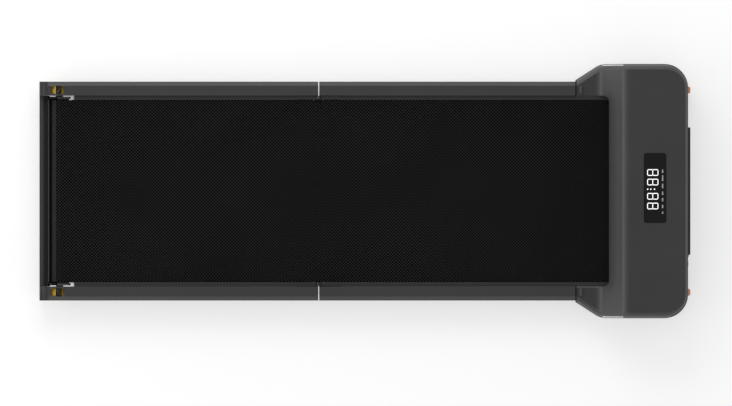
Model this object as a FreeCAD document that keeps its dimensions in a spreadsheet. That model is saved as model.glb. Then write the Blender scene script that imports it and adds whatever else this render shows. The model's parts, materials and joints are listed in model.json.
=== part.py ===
import FreeCAD, Part
import Sketcher
import math
import os
import re

# Folding walking pad, in millimetres. +X points to the motor hood, +Y to the left of a walker who faces
# the hood, +Z up. The origin lies on the floor, at the middle of the whole pad.

SIZES = {
    # whole pad and fold
    "overall_length": 1432,
    "fold_clear": 4,             # folded rear end behind the foot of the hood's ramp
    "fold_gap": 2.2,             # slit between the rail ends at the fold
    "hinge_rise": 0.4,           # hinge axis above the rail top
    "running_gap": 0.3,          # free space between parts that turn past each other
    "shaft_fit": 0.05,           # radial clearance of a shaft in its bore
    "over": 1,                   # reach of a cutting block past the face that it cuts
    # rails
    "rail_top": 60,
    "rail_wide": 30.7,           # flat foot rail with its bevel
    "rail_bevel_wide": 9,
    "rail_bevel_drop": 7,
    "lip_wide": 9.6,             # low lip beside the belt
    "lip_gap": 1.4,              # free space between lip and belt
    "lip_drop": 5,
    "cover_wall": 2.5,
    "lip_under_hood": 9,         # reach of the lip past the belt opening's front edge
    "cover_bottom": 16,
    "tube_inset": 0.5,
    "tube_wide": 24,
    "tube_tall": 40,
    "tube_wall": 2,
    "tube_room": 4,              # free space in the hood beside the tubes
    "tube_bottom": 10,
    "tube_end_gap": 1,           # free space between the tubes and the hood's front wall
    # belt, rollers and deck
    "belt_thick": 1.7,
    "roller_radius": 18,
    "roller_bore": 14,
    "roller_long": 398,          # also the width of the belt
    "roller_disc": 10,
    "roller_axis_z": 34,
    "rear_roller_in": 44,        # rear roller axis from the rear end
    "drive_roller_in": 124,      # drive roller axis from the hood's front
    "rear_shaft_radius": 6,
    "drive_shaft_radius": 8,
    "bearing_wide": 9,
    "deck_edge": 7,              # deck board beyond the belt on each side
    "deck_thick": 12,
    "deck_fold_space": 12,
    "deck_rear_in": 80,          # rear end of the deck from the rear end of the pad
    "deck_roller_gap": 29,       # front end of the deck from the drive roller axis
    "fold_belt_upper": 10,       # half length of the belt stretch that bends at the fold, walking run
    "fold_belt_lower": 40,       # the same for the returning run
    "cross_first": 42,           # first cross member from the fold
    "cross_last": 56,            # last cross member from the hood end of the deck
    "cross_rear": 20,            # last cross member from the rear end of the deck
    "cross_wide": 30,
    "cross_tall": 18,
    "cross_bottom": 18,
    "cross_wall": 1.5,
    "cushion_wide": 50,
    "cushion_in": 49,            # outer cushions from the edge of the belt
    "deck_screw_radius": 2.5,
    "deck_screw_in": 3,
    "deck_screw_deep": 6,        # screw length below the cross member's top
    "foot_radius": 11,
    "hood_foot_radius": 16,
    "hood_foot_back": 89,        # hood feet from the hood's front
    "hood_foot_in": 99.2,        # hood feet from the hood's side
    # wheels
    "wheel_radius": 22,
    "wheel_wide": 16,
    "wheel_floor_gap": 2,
    "wheel_hub_radius": 9,
    "wheel_groove": 2,           # depth of the ring groove in each wheel side
    "wheel_ring_radius": 18,     # outside of that groove
    "wheel_slot_room": 4,        # free space between a wheel and the end of its slot
    "rear_wheel_in": 40.4,       # rear wheel axis from the rear end
    "axle_radius": 4,
    "axle_stand_out": 1.5,
    "window_long": 28.6,
    "window_wide": 17.6,
    "bridge_wide": 13.2,
    "bridge_shift": 2.2,         # bridge in front of the wheel axis
    "bridge_thick": 3,
    # rear end
    "end_cap_long": 17.3,
    "end_cap_step": 1,           # end cap beyond the flat rail's inner edge
    "end_cap_edge": 6,
    "end_cap_wall": 3,
    "end_cap_roof": 9,
    "end_notch_deep": 2.5,
    "end_notch_wide": 4.4,
    "end_notch_tall": 18,
    "tail_bar_long": 18,
    "tail_top_wide": 8.4,
    "tail_top_z": 50,
    "tail_groove_z": 42,
    "tail_lip_z": 47,
    "tail_bottom": 18,
    "tail_wall": 2,
    "bracket_wall": 2.5,
    "bracket_top": 51.8,
    "bracket_bottom": 22,
    "bracket_rear_in": 19.5,     # rear edge of the roller bracket from the rear end
    "bracket_front_in": 76,
    "bracket_notch_rear": 36,
    "bracket_notch_front": 52.5,
    "bracket_notch_z": 43,
    "bracket_hook_long": 11,
    "bolt_from_belt": 5,         # tension bolt from the edge of the belt
    "bolt_radius": 3,
    "bolt_head_radius": 4.5,
    "bolt_head_long": 6,
    "bolt_key_radius": 2.5,
    "bolt_key_floor": 2,
    # hinge
    "knuckle_radius": 3.2,
    "hinge_pin_radius": 1.6,
    "hinge_lip_edge": 1.6,       # hinge from the lip's inner edge
    "hinge_rail_gap": 0.5,       # hinge from the flat rail
    "hinge_knuckle_gap": 0.2,
    "hinge_strap_long": 46,
    "hinge_strap_thick": 2.2,
    "hinge_strap_start": 3.8,
    # hood
    "hood_top": 129,
    "hood_flare": 38.5,          # hood beyond the rails on each side
    "hood_front_in": 7,          # hood's front behind the front of the wheels
    "hood_long": 246,
    "hood_corner": 53,
    "hood_edge_round": 12,
    "hood_wall": 3,
    "hood_split_z": 44,
    "hood_bottom": 7,
    "wing_step": 3.7,            # wing beyond the rail at its rear edge
    "wing_flare_long": 54,       # length in which the wing reaches the full width
    "wing_flare_round": 40,
    "wing_top": 57,
    "wing_long": 53,             # level wing from its rear edge to the foot of the ramp
    "ramp_long": 59,
    "ramp_foot_round": 20,
    "ramp_crest_round": 10,
    "opening_in": 20,            # front edge of the belt opening from the foot of the ramp
    "opening_step": 0.5,         # belt opening inside the flat rails
    "opening_round": 14,
    "belt_slot_top": 62,
    "rail_end_gap": 0.5,
    "bumper_in": 11.5,           # bumper from the wing's rear edge
    "bumper_long": 17.6,
    "bumper_wide": 6.6,
    "bumper_tall": 3.4,
    "bumper_round": 2.97,
    "boss_radius": 6,
    "boss_in": 8.8,              # boss axis from the hood's outside
    "boss_tall": 14,             # boss height in the cover above the split
    "side_boss_rear": 157,       # side bosses from the hood's front
    "side_boss_front": 69,
    "front_boss_step": 40,       # front bosses inside the reset button
    "hood_screw_radius": 2,
    "hood_screw_head": 4,
    "hood_screw_head_tall": 2,
    "strip_long": 280,
    "strip_bottom": 56,
    "strip_tall": 28,
    "strip_thick": 5.6,
    "strip_round": 4,
    # display
    "display_in": 71.2,          # middle of the display from the hood's front
    "display_y": 6.8,
    "display_wide": 52.8,        # along X
    "display_long": 154,         # along Y
    "display_round": 6,
    "lens_thick": 2.6,
    "lens_gap": 0.2,
    "display_board_thick": 1.6,
    "display_board_drop": 5,     # board top below the underside of the cover
    "display_board_edge": 8,
    "standoff_radius": 3,
    # drive
    "bearing_block_long": 40,
    "bearing_block_wide": 6,
    "bearing_block_bottom": 16,
    "pulley_out": 12.5,          # middle of both pulleys from the rail tube
    "pulley_wide": 14,
    "pulley_rim": 1.5,
    "pulley_rim_rise": 2,
    "drive_pulley_radius": 20,
    "motor_pulley_radius": 8,
    "ribbed_belt_thick": 1.5,
    "motor_in": 61,              # motor axis from the hood's front
    "motor_z": 70,
    "motor_radius": 33,
    "motor_long": 140,
    "motor_bell_radius": 28,
    "motor_bell_long": 12,
    "motor_shaft_radius": 5,
    "motor_shaft_in": 30,        # shaft length inside the motor
    "motor_plate": 3,
    "motor_plate_half": 34,
    "motor_foot_front": 16,
    # electronics
    "controller_back": 97,       # rear edge of the controller from the hood's front
    "controller_long": 64,
    "controller_in": 80.5,       # middle of the controller from the rail tube
    "controller_wide": 120,
    "controller_rise": 6,
    "board_thick": 2,
    "sink_base": 3,
    "sink_fin_tall": 22,
    "sink_fin_thick": 2,
    "sink_fins": 9,
    "sink_edge": 8,
    # inlet, rocker switch and reset button on the hood's front
    "panel_z": 25,
    "panel_flange": 1.2,
    "inlet_in": 20.5,            # inlet from the rail tube
    "inlet_wide": 30,
    "inlet_tall": 22,
    "inlet_deep": 26,
    "inlet_wall": 3,
    "inlet_cavity": 17,
    "inlet_rim": 2,
    "prong_long": 7,
    "prong_wide": 4,
    "prong_thick": 2,
    "prong_step": 7,
    "switch_step": 30,           # switch from the inlet
    "switch_wide": 16,
    "switch_tall": 22,
    "switch_deep": 18,
    "switch_wall": 1.6,
    "rocker_tall": 17,
    "rocker_thick": 8,
    "rocker_tilt": 8,            # degrees at rest
    "rocker_pivot_in": 3,        # pivot behind the hood's front face
    "rocker_pin_radius": 1.5,
    "rocker_side_gap": 0.4,
    "reset_step": 20,            # reset button from the switch
    "reset_radius": 5,
    "reset_collar": 7.5,
    "reset_deep": 18,
    "reset_stand_out": 3,
    "reset_travel": 2.5,
}

# Places worked out from the sizes above.
DERIVED = {
    "rear_x": "-overall_length / 2",
    "front_x": "overall_length / 2",
    "hood_front_x": "front_x - hood_front_in",
    "wing_x": "hood_front_x - hood_long",
    "wing_flare_x": "wing_x + wing_flare_long",
    "ramp_foot_x": "wing_x + wing_long",
    "ramp_crest_x": "ramp_foot_x + ramp_long",
    "opening_x": "ramp_foot_x + opening_in",
    "bumper_x": "wing_x + bumper_in",
    "fold_x": "(rear_x + ramp_foot_x - fold_clear) / 2",
    "drive_roller_x": "hood_front_x - drive_roller_in",
    "deck_front_x": "drive_roller_x - deck_roller_gap",
    "hood_foot_x": "hood_front_x - hood_foot_back",
    "side_boss_x": "hood_front_x - side_boss_rear",
    "side_boss_front_x": "hood_front_x - side_boss_front",
    "display_x": "hood_front_x - display_in",
    "motor_x": "hood_front_x - motor_in",
    "controller_x": "hood_front_x - controller_back",
    "belt_half": "roller_long / 2",
    "deck_half": "belt_half + deck_edge",
    "deck_screw_out": "deck_half - deck_screw_in",
    "cushion_out": "belt_half - cushion_in",
    "bolt_out": "belt_half + bolt_from_belt",
    "lip_in": "belt_half + lip_gap",
    "rail_flat_in": "lip_in + lip_wide",
    "rail_half": "rail_flat_in + rail_wide",
    "end_cap_in": "rail_flat_in - end_cap_step",
    "hinge_in": "lip_in + hinge_lip_edge",
    "hinge_out": "rail_flat_in - hinge_rail_gap",
    "opening_half": "rail_flat_in - opening_step",
    "wing_half": "rail_half + wing_step",
    "hood_half": "rail_half + hood_flare",
    "hood_foot_out": "hood_half - hood_foot_in",
    "hinge_z": "rail_top + hinge_rise",
    "rear_half_end": "fold_x - fold_gap / 2",
    "front_half_end": "fold_x + fold_gap / 2",
    "lip_top": "rail_top - lip_drop",
    "tube_in": "rail_flat_in + tube_inset",
    "tube_out": "tube_in + tube_wide",
    "tube_top": "tube_bottom + tube_tall",
    "tube_rear_x": "rear_x + end_cap_long",
    "tube_front_x": "hood_front_x - hood_wall - tube_end_gap",
    "belt_inner_radius": "roller_radius + running_gap",
    "belt_outer_radius": "belt_inner_radius + belt_thick",
    "deck_top": "roller_axis_z + belt_inner_radius",
    "deck_bottom": "deck_top - deck_thick",
    "belt_top": "roller_axis_z + belt_outer_radius",
    "belt_bottom": "roller_axis_z - belt_outer_radius",
    "lower_run_top": "roller_axis_z - belt_inner_radius",
    "rear_roller_x": "rear_x + rear_roller_in",
    "cross_top": "cross_bottom + cross_tall",
    "wheel_y": "tube_in + tube_wide / 2",
    "wheel_z": "wheel_floor_gap + wheel_radius",
    "rear_wheel_x": "rear_x + rear_wheel_in",
    "front_wheel_x": "front_x - wheel_radius",
    "slot_half": "wheel_radius + wheel_slot_room",
    "floor_z": "hood_bottom + hood_wall",
    "wing_slope": "(hood_half - wing_half) / (wing_flare_x - wing_x)",
    "wing_wall_rise": "hood_wall * sqrt(1 + (wing_slope) ^ 2)",
    "ramp_run": "ramp_crest_x - ramp_foot_x",
    "ramp_rise": "hood_top - wing_top",
    "ramp_shift": "hood_wall * (sqrt((ramp_run) ^ 2 + (ramp_rise) ^ 2) - (ramp_run)) / (ramp_rise)",
    "cover_under": "hood_top - hood_wall",
    "motor_face_y": "tube_in - motor_plate - tube_inset",
    "pulley_y": "tube_out + pulley_out",
    "pulley_low": "pulley_y - pulley_wide / 2",
    "pulley_high": "pulley_y + pulley_wide / 2",
    "panel_x": "hood_front_x + panel_flange",
    "rocker_x": "hood_front_x - rocker_pivot_in",
    "controller_y": "-(tube_in - controller_in)",
    "inlet_y": "-(tube_in - inlet_in)",
    "switch_y": "inlet_y + switch_step",
    "reset_y": "switch_y + reset_step",
    "front_boss_y": "-(reset_y) - front_boss_step",
}

doc = FreeCAD.newDocument("WalkingPad")
sheet = doc.addObject("Spreadsheet::Sheet", "Sizes")
for row, (alias, size) in enumerate(SIZES.items(), start=1):
    sheet.set(f"A{row}", alias)
    sheet.set(f"B{row}", str(size))
    sheet.setAlias(f"B{row}", alias)
doc.recompute()
probe = doc.addObject("App::FeaturePython", "Probe")

NODES = []


def ex(text):
    """Write the words of a size expression as references to the sheet."""
    def look_up(match):
        word = match.group()
        if word in DERIVED:
            return f"({ex(DERIVED[word])})"
        return f"Sizes.{word}" if word in SIZES else word
    return re.sub(r"[a-z][a-z_]*", look_up, text)


def value(text):
    """The number that a size expression gives now."""
    return float(probe.evalExpression(ex(text)))


def keep(part, name):
    """Make an object a finished sub-part with its own name."""
    part.Label = name
    NODES.append(part)
    return part


def mirrored(source):
    """The same piece on the other side of the middle line."""
    part = doc.addObject("Part::Mirroring", source.Name + "_other_side")
    part.Source = source
    part.Normal = FreeCAD.Vector(0, 1, 0)
    return part


def keep_pair(part, name):
    """A left sub-part and its mirror image on the right."""
    keep(part, name + "_left")
    keep(mirrored(part), name + "_right")


def keep_both(part, name):
    """One sub-part that holds a left piece and its mirror image."""
    keep(group(name, [part, mirrored(part)]), name)


def box(name, x, y, z):
    """A block between two expressions on each axis."""
    part = doc.addObject("Part::Box", name)
    for side, axis, span in zip(("Length", "Width", "Height"), "xyz", (x, y, z)):
        part.setExpression(side, ex(f"({span[1]}) - ({span[0]})"))
        part.setExpression(f"Placement.Base.{axis}", ex(span[0]))
    return part


AXES = {"x": FreeCAD.Vector(1, 0, 0), "y": FreeCAD.Vector(0, 1, 0), "z": FreeCAD.Vector(0, 0, 1)}


def rod(name, along, radius, span, **at):
    """A cylinder along one axis, at a place on the other two."""
    part = doc.addObject("Part::Cylinder", name)
    part.Placement.Rotation = FreeCAD.Rotation(AXES["z"], AXES[along])
    part.setExpression("Radius", ex(radius))
    part.setExpression("Height", ex(f"({span[1]}) - ({span[0]})"))
    for axis, place in {**at, along: span[0]}.items():
        part.setExpression(f"Placement.Base.{axis}", ex(place))
    return part


def joined(name, *parts):
    """One solid out of several that touch."""
    part = doc.addObject("Part::MultiFuse", name)
    part.Shapes = list(parts)
    part.Refine = True
    return part


def less(name, base, *tools):
    """A solid with other solids cut out of it."""
    part = doc.addObject("Part::Cut", name)
    part.Base = base
    part.Tool = tools[0] if len(tools) == 1 else joined(name + "_cutters", *tools)
    return part


def shared(name, first, second):
    """The space that two solids share."""
    part = doc.addObject("Part::Common", name)
    part.Base = first
    part.Tool = second
    return part


def group(name, parts):
    """Separate solids that count as one sub-part."""
    part = doc.addObject("Part::Compound", name)
    part.Links = list(parts)
    return part


PLANES = {"x": ("YZ_Plane", "yz"), "y": ("XZ_Plane", "xz"), "z": ("XY_Plane", "xy")}
TOUCH = 1e-4    # places nearer than this count as one


def corner_edges(shape, along, axes, corner):
    """Names of the edges along one axis that stand on a corner of the outline."""
    place = [value(word) for word in corner]
    names = []
    for number, edge in enumerate(shape.Edges, start=1):
        ends = [vertex.Point for vertex in edge.Vertexes]
        if len(ends) == 2 and all(
                abs(getattr(end, axis) - where) < TOUCH for end in ends for axis, where in zip(axes, place)):
            names.append(f"Edge{number}")
    return names


def prism(name, along, outline, span, rounds=()):
    """A padded sketch. The outline's corners are expressions; rounds pair a radius with corner numbers."""
    role, axes = PLANES[along]
    body = doc.addObject("PartDesign::Body", name)
    sketch = body.newObject("Sketcher::SketchObject", name + "_outline")
    plane = [feature for feature in body.Origin.OriginFeatures if feature.Role == role][0]
    sketch.AttachmentSupport = [(plane, "")]
    sketch.MapMode = "FlatFace"
    points = [FreeCAD.Vector(value(across), value(up), 0) for across, up in outline]
    count = len(points)
    for index in range(count):
        sketch.addGeometry(Part.LineSegment(points[index], points[(index + 1) % count]), False)
    for index in range(count):
        sketch.addConstraint(Sketcher.Constraint("Coincident", index, 2, (index + 1) % count, 1))
    for index, (point, words) in enumerate(zip(points, outline)):
        for kind, distance, word in (("DistanceX", point.x, words[0]), ("DistanceY", point.y, words[1])):
            tie = sketch.addConstraint(Sketcher.Constraint(kind, -1, 1, index, 1, distance))
            sketch.setExpression(f"Constraints[{tie}]", ex(word))
    last = body.newObject("PartDesign::Pad", name + "_pad")
    last.Profile = sketch
    last.setExpression("Length", ex(f"({span[1]}) - ({span[0]})"))
    start = span[1] if along == "y" else span[0]
    body.setExpression(f"Placement.Base.{along}", ex(start))
    for number, (radius, corners) in enumerate(rounds):
        doc.recompute()
        edges = []
        for corner in corners:
            edges += corner_edges(last.Shape, along, axes, outline[corner])
        fillet = body.newObject("PartDesign::Fillet", f"{name}_round{number}")
        fillet.Base = (last, edges)
        fillet.setExpression("Radius", ex(radius))
        last = fillet
    return body


def both_ways(half):
    """A span that is even about the middle line."""
    return (f"-({half})", half)


def around(middle, width):
    """A span of a given width about a middle."""
    return (f"{middle} - ({width}) / 2", f"{middle} + ({width}) / 2")


FRONT_CROSS_XS = [
    f"fold_x + cross_first + (deck_front_x - cross_last - fold_x - cross_first) * {step} / 3"
    for step in range(4)]
REAR_CROSS_XS = [
    f"fold_x - cross_first + (rear_x + deck_rear_in + cross_rear - fold_x + cross_first) * {step} / 3"
    for step in range(4)]
TUBE_HOLLOW_Y = ("tube_in + tube_wall", "tube_out - tube_wall")


def rail_tube(half, x, wheel_x, slot_x, extra=()):
    """A steel box tube, open below and above its wheel, with the axle's holes."""
    name = f"rail_tube_{half}"
    bar = box(name + "_bar", x, ("tube_in", "tube_out"), ("tube_bottom", "tube_top"))
    hollow = box(name + "_hollow", (f"{x[0]} - over", f"{x[1]} + over"), TUBE_HOLLOW_Y,
                 ("tube_bottom + tube_wall", "tube_top - tube_wall"))
    slot = box(name + "_slot", slot_x, TUBE_HOLLOW_Y, ("tube_bottom - over", "tube_top + over"))
    hole = rod(name + "_axle_hole", "y", "axle_radius + shaft_fit", ("tube_in - over", "tube_out + over"),
               x=wheel_x, z="wheel_z")
    keep_both(less(name + "_cut", bar, hollow, slot, hole, *extra), f"rail_tubes_{half}")


def rail_covers():
    """Moulded covers over the tubes: bevel, flat foot rail, low lip beside the belt, foot on the tube."""
    outline = [
        ("rail_half", "cover_bottom"),
        ("rail_half", "rail_top - rail_bevel_drop"),
        ("rail_half - rail_bevel_wide", "rail_top"),
        ("rail_flat_in", "rail_top"),
        ("rail_flat_in", "lip_top"),
        ("lip_in", "lip_top"),
        ("lip_in", "lip_top - cover_wall"),
        ("rail_flat_in + cover_wall", "lip_top - cover_wall"),
        ("rail_flat_in + cover_wall", "rail_top - cover_wall"),
        ("rail_half - rail_bevel_wide - cover_wall / 3", "rail_top - cover_wall"),
        ("rail_half - cover_wall", "rail_top - rail_bevel_drop - cover_wall / 3"),
        ("rail_half - cover_wall", "cover_bottom + cover_wall"),
        ("tube_out", "cover_bottom + cover_wall"),
        ("tube_out", "cover_bottom"),
    ]
    front = prism("rail_cover_front_shell", "x", outline, ("front_half_end", "wing_x - rail_end_gap"))
    lip = box("front_lip_end", ("wing_x - rail_end_gap - cover_wall", "opening_x + lip_under_hood"),
              ("lip_in", "opening_half - running_gap"), ("lip_top - cover_wall", "lip_top"))
    keep_pair(joined("rail_cover_front", front, lip), "rail_cover_front")

    rear = prism("rail_cover_rear_shell", "x", outline, ("tube_rear_x", "rear_half_end"))
    no_lip = box("rear_lip_cut", ("tube_rear_x - over", "rear_x + bracket_front_in + running_gap"),
                 ("lip_in - over", "rail_flat_in"), ("lip_top - cover_wall - over", "lip_top + over"))
    window = box("wheel_window", around("rear_wheel_x", "window_long"), around("wheel_y", "window_wide"),
                 ("rail_top - cover_wall - over", "rail_top + over"))
    keep_pair(less("rail_cover_rear", rear, no_lip, window), "rail_cover_rear")
    bridge = box("window_bridge", around("rear_wheel_x + bridge_shift", "bridge_wide"),
                 around("wheel_y", "window_wide"), ("rail_top - bridge_thick", "rail_top"))
    keep_both(bridge, "window_bridges")


def frame():
    """Rail tubes, cross members, deck boards with cushions and screws, and feet."""
    shaft_hole = rod("drive_shaft_hole", "y", "drive_shaft_radius + tube_wall",
                     ("tube_in - over", "tube_out + over"), x="drive_roller_x", z="roller_axis_z")
    rail_tube("front", ("front_half_end", "tube_front_x"), "front_wheel_x",
              ("front_wheel_x - slot_half", "tube_front_x + over"), [shaft_hole])
    rail_tube("rear", ("tube_rear_x", "rear_half_end"), "rear_wheel_x",
              ("tube_rear_x - over", "rear_wheel_x + slot_half"))
    halves = (
        ("front", FRONT_CROSS_XS, ("fold_x + deck_fold_space", "deck_front_x")),
        ("rear", REAR_CROSS_XS, ("rear_x + deck_rear_in", "fold_x - deck_fold_space")),
    )
    for half, cross_xs, deck_x in halves:
        deck_half(half, cross_xs, deck_x)
    feet = [("fold_x + cross_first", "wheel_y", "tube_bottom", "foot_radius"),
            ("wing_x - cross_first", "wheel_y", "tube_bottom", "foot_radius"),
            ("hood_foot_x", "hood_foot_out", "hood_bottom", "hood_foot_radius")]
    keep(foot_group("feet_front", feet), "feet_front")
    feet = [("fold_x - cross_first", "wheel_y", "tube_bottom", "foot_radius"),
            ("rear_x + deck_rear_in + cross_rear", "wheel_y", "tube_bottom", "foot_radius")]
    keep(foot_group("feet_rear", feet), "feet_rear")


def foot_group(name, places):
    """Rubber feet in pairs, left and right."""
    feet = []
    for x, y, top, radius in places:
        for side in (y, f"-({y})"):
            feet.append(rod(f"{name}_{len(feet)}", "z", radius, ("0", top), x=x, y=side))
    return group(name, feet)


def deck_half(half, cross_xs, deck_x):
    """One half of the deck: a board on cushions on hollow cross members, held by screws at its edges."""
    members, cushions, screws = [], [], []
    board_holes = []
    for number, x in enumerate(cross_xs):
        name = f"{half}_cross_{number}"
        bar = box(name + "_bar", around(x, "cross_wide"), both_ways("tube_in"),
                  ("cross_bottom", "cross_top"))
        hollow = box(name + "_hollow", around(x, "cross_wide - 2 * cross_wall"), both_ways("tube_in + over"),
                     ("cross_bottom + cross_wall", "cross_top - cross_wall"))
        holes = []
        for side, y in (("left", "deck_screw_out"), ("right", "-deck_screw_out")):
            screws.append(rod(f"{name}_screw_{side}", "z", "deck_screw_radius",
                              ("cross_top - deck_screw_deep", "deck_top"), x=x, y=y))
            hole = rod(f"{name}_hole_{side}", "z", "deck_screw_radius + shaft_fit",
                       ("cross_top - cross_wall - over", "deck_top + over"), x=x, y=y)
            holes.append(hole)
            board_holes.append(hole)
        members.append(less(name, bar, hollow, *holes))
        for spot, y in (("left", "cushion_out"), ("middle", "0"), ("right", "-cushion_out")):
            cushions.append(box(f"{name}_cushion_{spot}", around(x, "cross_wide"),
                                around(y, "cushion_wide"), ("cross_top", "deck_bottom")))
    board = box(f"deck_{half}_board", deck_x, both_ways("deck_half"), ("deck_bottom", "deck_top"))
    keep(less(f"deck_{half}_cut", board, *board_holes), f"deck_{half}")
    keep(group(f"{half}_members", members), f"cross_members_{half}")
    keep(group(f"{half}_cushions", cushions), f"deck_cushions_{half}")
    keep(group(f"{half}_screws", screws), f"deck_screws_{half}")


def belt_half(half, roller_x, fold_side):
    """The walking belt of one half: walking run, wrap round the roller and returning run."""
    name = f"belt_{half}"
    fold_end = f"fold_x {fold_side} fold_belt_upper"
    trim_end = f"fold_x {fold_side} fold_belt_lower"
    if fold_side == "+":
        long_run, trim = (fold_end, roller_x), (fold_end, trim_end)
        open_run = (f"{fold_end} - over", roller_x)
    else:
        long_run, trim = (roller_x, fold_end), (trim_end, fold_end)
        open_run = (roller_x, f"{fold_end} + over")
    outer = joined(name + "_outside",
                   box(name + "_block", long_run, both_ways("belt_half"), ("belt_bottom", "belt_top")),
                   rod(name + "_wrap", "y", "belt_outer_radius", both_ways("belt_half"),
                       x=roller_x, z="roller_axis_z"))
    inner = joined(name + "_inside",
                   box(name + "_space", open_run, both_ways("belt_half + over"),
                       ("lower_run_top", "deck_top")),
                   rod(name + "_core", "y", "belt_inner_radius", both_ways("belt_half + over"),
                       x=roller_x, z="roller_axis_z"))
    lower_trim = box(name + "_trim", trim, both_ways("belt_half + over"),
                     ("belt_bottom - over", "lower_run_top + over"))
    keep(less(name, outer, inner, lower_trim), name)


def belts():
    """Both belt halves and the two stretches that bend at the fold."""
    belt_half("front", "drive_roller_x", "+")
    belt_half("rear", "rear_roller_x", "-")
    upper = box("fold_upper", around("fold_x", "2 * fold_belt_upper"), both_ways("belt_half"),
                ("deck_top", "belt_top"))
    lower = box("fold_lower", around("fold_x", "2 * fold_belt_lower"), both_ways("belt_half"),
                ("belt_bottom", "lower_run_top"))
    keep(group("fold_stretches", [upper, lower]), "belt_fold")


def roller_tube(name, x, end_bore):
    """A steel roller: a hollow tube with a disc in each end."""
    tube = rod(name + "_tube", "y", "roller_radius", both_ways("roller_long / 2"), x=x, z="roller_axis_z")
    hollow = rod(name + "_hollow", "y", "roller_bore", both_ways("roller_long / 2 - roller_disc"),
                 x=x, z="roller_axis_z")
    bore = rod(name + "_bore", "y", end_bore, both_ways("roller_long / 2 + over"), x=x, z="roller_axis_z")
    return less(name, tube, hollow, bore)


def rear_roller():
    """Rear roller on bearings and a fixed shaft, its brackets and tension bolts."""
    keep(roller_tube("rear_roller", "rear_roller_x", "roller_bore"), "rear_roller")
    bearings = []
    for side, y in (("left", ("roller_long / 2 - bearing_wide", "roller_long / 2")),
                    ("right", ("-roller_long / 2", "bearing_wide - roller_long / 2"))):
        ring = rod(f"rear_bearing_{side}_ring", "y", "roller_bore - shaft_fit", y,
                   x="rear_roller_x", z="roller_axis_z")
        bore = rod(f"rear_bearing_{side}_bore", "y", "rear_shaft_radius + shaft_fit",
                   (f"{y[0]} - over", f"{y[1]} + over"), x="rear_roller_x", z="roller_axis_z")
        bearings.append(less(f"rear_bearing_{side}", ring, bore))
    keep(group("rear_bearings", bearings), "rear_roller_bearings")
    keep(rod("rear_shaft", "y", "rear_shaft_radius", both_ways("tube_in - shaft_fit"),
             x="rear_roller_x", z="roller_axis_z"), "rear_roller_shaft")

    plate_y = ("tube_in - bracket_wall", "tube_in")
    plate = box("bracket_plate", ("rear_x + bracket_rear_in", "rear_x + bracket_front_in"), plate_y,
                ("bracket_bottom", "bracket_top"))
    hook = box("bracket_hook",
               ("rear_x + bracket_front_in - bracket_hook_long", "rear_x + bracket_front_in"),
               ("lip_in", "tube_in - bracket_wall"), ("bracket_top - bracket_wall", "bracket_top"))
    notch = box("bracket_notch", ("rear_x + bracket_notch_rear", "rear_x + bracket_notch_front"),
                ("tube_in - bracket_wall - over", "tube_in + over"),
                ("bracket_notch_z", "bracket_top + over"))
    hole = rod("bracket_hole", "y", "rear_shaft_radius + shaft_fit",
               ("tube_in - bracket_wall - over", "tube_in + over"), x="rear_roller_x", z="roller_axis_z")
    keep_both(less("roller_bracket", joined("bracket_bent", plate, hook), notch, hole), "roller_brackets")

    seat_x = "rear_x + tail_bar_long - tail_wall"
    head_x = (f"{seat_x} - shaft_fit - bolt_head_long", f"{seat_x} - shaft_fit")
    head = rod("bolt_head", "x", "bolt_head_radius", head_x, y="bolt_out", z="roller_axis_z")
    key = rod("bolt_key", "x", "bolt_key_radius",
              (f"{head_x[0]} - over", f"{head_x[1]} - bolt_key_floor"),
              y="bolt_out", z="roller_axis_z")
    shank = rod("bolt_shank", "x", "bolt_radius",
                (f"{seat_x} - bolt_key_floor", "rear_roller_x - rear_shaft_radius - running_gap"),
                y="bolt_out", z="roller_axis_z")
    keep_pair(less("tension_bolt", joined("bolt_blank", head, shank), key), "tension_bolt")


def rear_end():
    """Tail bar between the rails and the end caps of the rails."""
    outline = [
        ("rear_x", "tail_bottom"),
        ("rear_x + tail_bar_long", "tail_bottom"),
        ("rear_x + tail_bar_long", "tail_lip_z"),
        ("rear_x + tail_bar_long - tail_wall", "tail_lip_z"),
        ("rear_x + tail_bar_long - tail_wall", "tail_groove_z"),
        ("rear_x + tail_top_wide", "tail_groove_z"),
        ("rear_x + tail_top_wide", "tail_top_z"),
        ("rear_x", "tail_top_z"),
    ]
    bar = prism("tail_bar_shape", "y", outline, both_ways("end_cap_in"))
    hollow = box("tail_bar_hollow", ("rear_x + tail_wall", "rear_x + tail_bar_long - tail_wall"),
                 both_ways("end_cap_in + over"), ("tail_bottom + tail_wall", "tail_groove_z - tail_wall"))
    holes = []
    for side, y in (("left", "bolt_out"), ("right", "-bolt_out")):
        holes.append(rod(f"tail_key_hole_{side}", "x", "bolt_head_radius + running_gap",
                         ("rear_x - over", "rear_x + tail_wall + over"), y=y, z="roller_axis_z"))
        holes.append(rod(f"tail_bolt_hole_{side}", "x", "bolt_radius + shaft_fit",
                         ("rear_x + tail_bar_long - tail_wall - over", "rear_x + tail_bar_long + over"),
                         y=y, z="roller_axis_z"))
    keep(less("tail_bar_cut", bar, hollow, *holes), "tail_bar")

    outline = [
        ("rail_half", "cover_bottom"),
        ("rail_half", "rail_top - rail_bevel_drop"),
        ("rail_half - rail_bevel_wide", "rail_top"),
        ("end_cap_in", "rail_top"),
        ("end_cap_in", "cover_bottom"),
    ]
    cap = prism("end_cap_shape", "x", outline, ("rear_x", "tube_rear_x"))
    round_rear_top(cap)
    hollow = box("end_cap_hollow", ("rear_x + end_cap_wall", "tube_rear_x + over"), TUBE_HOLLOW_Y,
                 ("cover_bottom + end_cap_wall", "rail_top - end_cap_roof"))
    notch = box("end_cap_notch", ("rear_x - over", "rear_x + end_notch_deep"),
                around("wheel_y", "end_notch_wide"), ("rail_top - end_notch_tall", "rail_top + over"))
    keep_both(less("end_cap", cap, hollow, notch), "end_caps")


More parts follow.
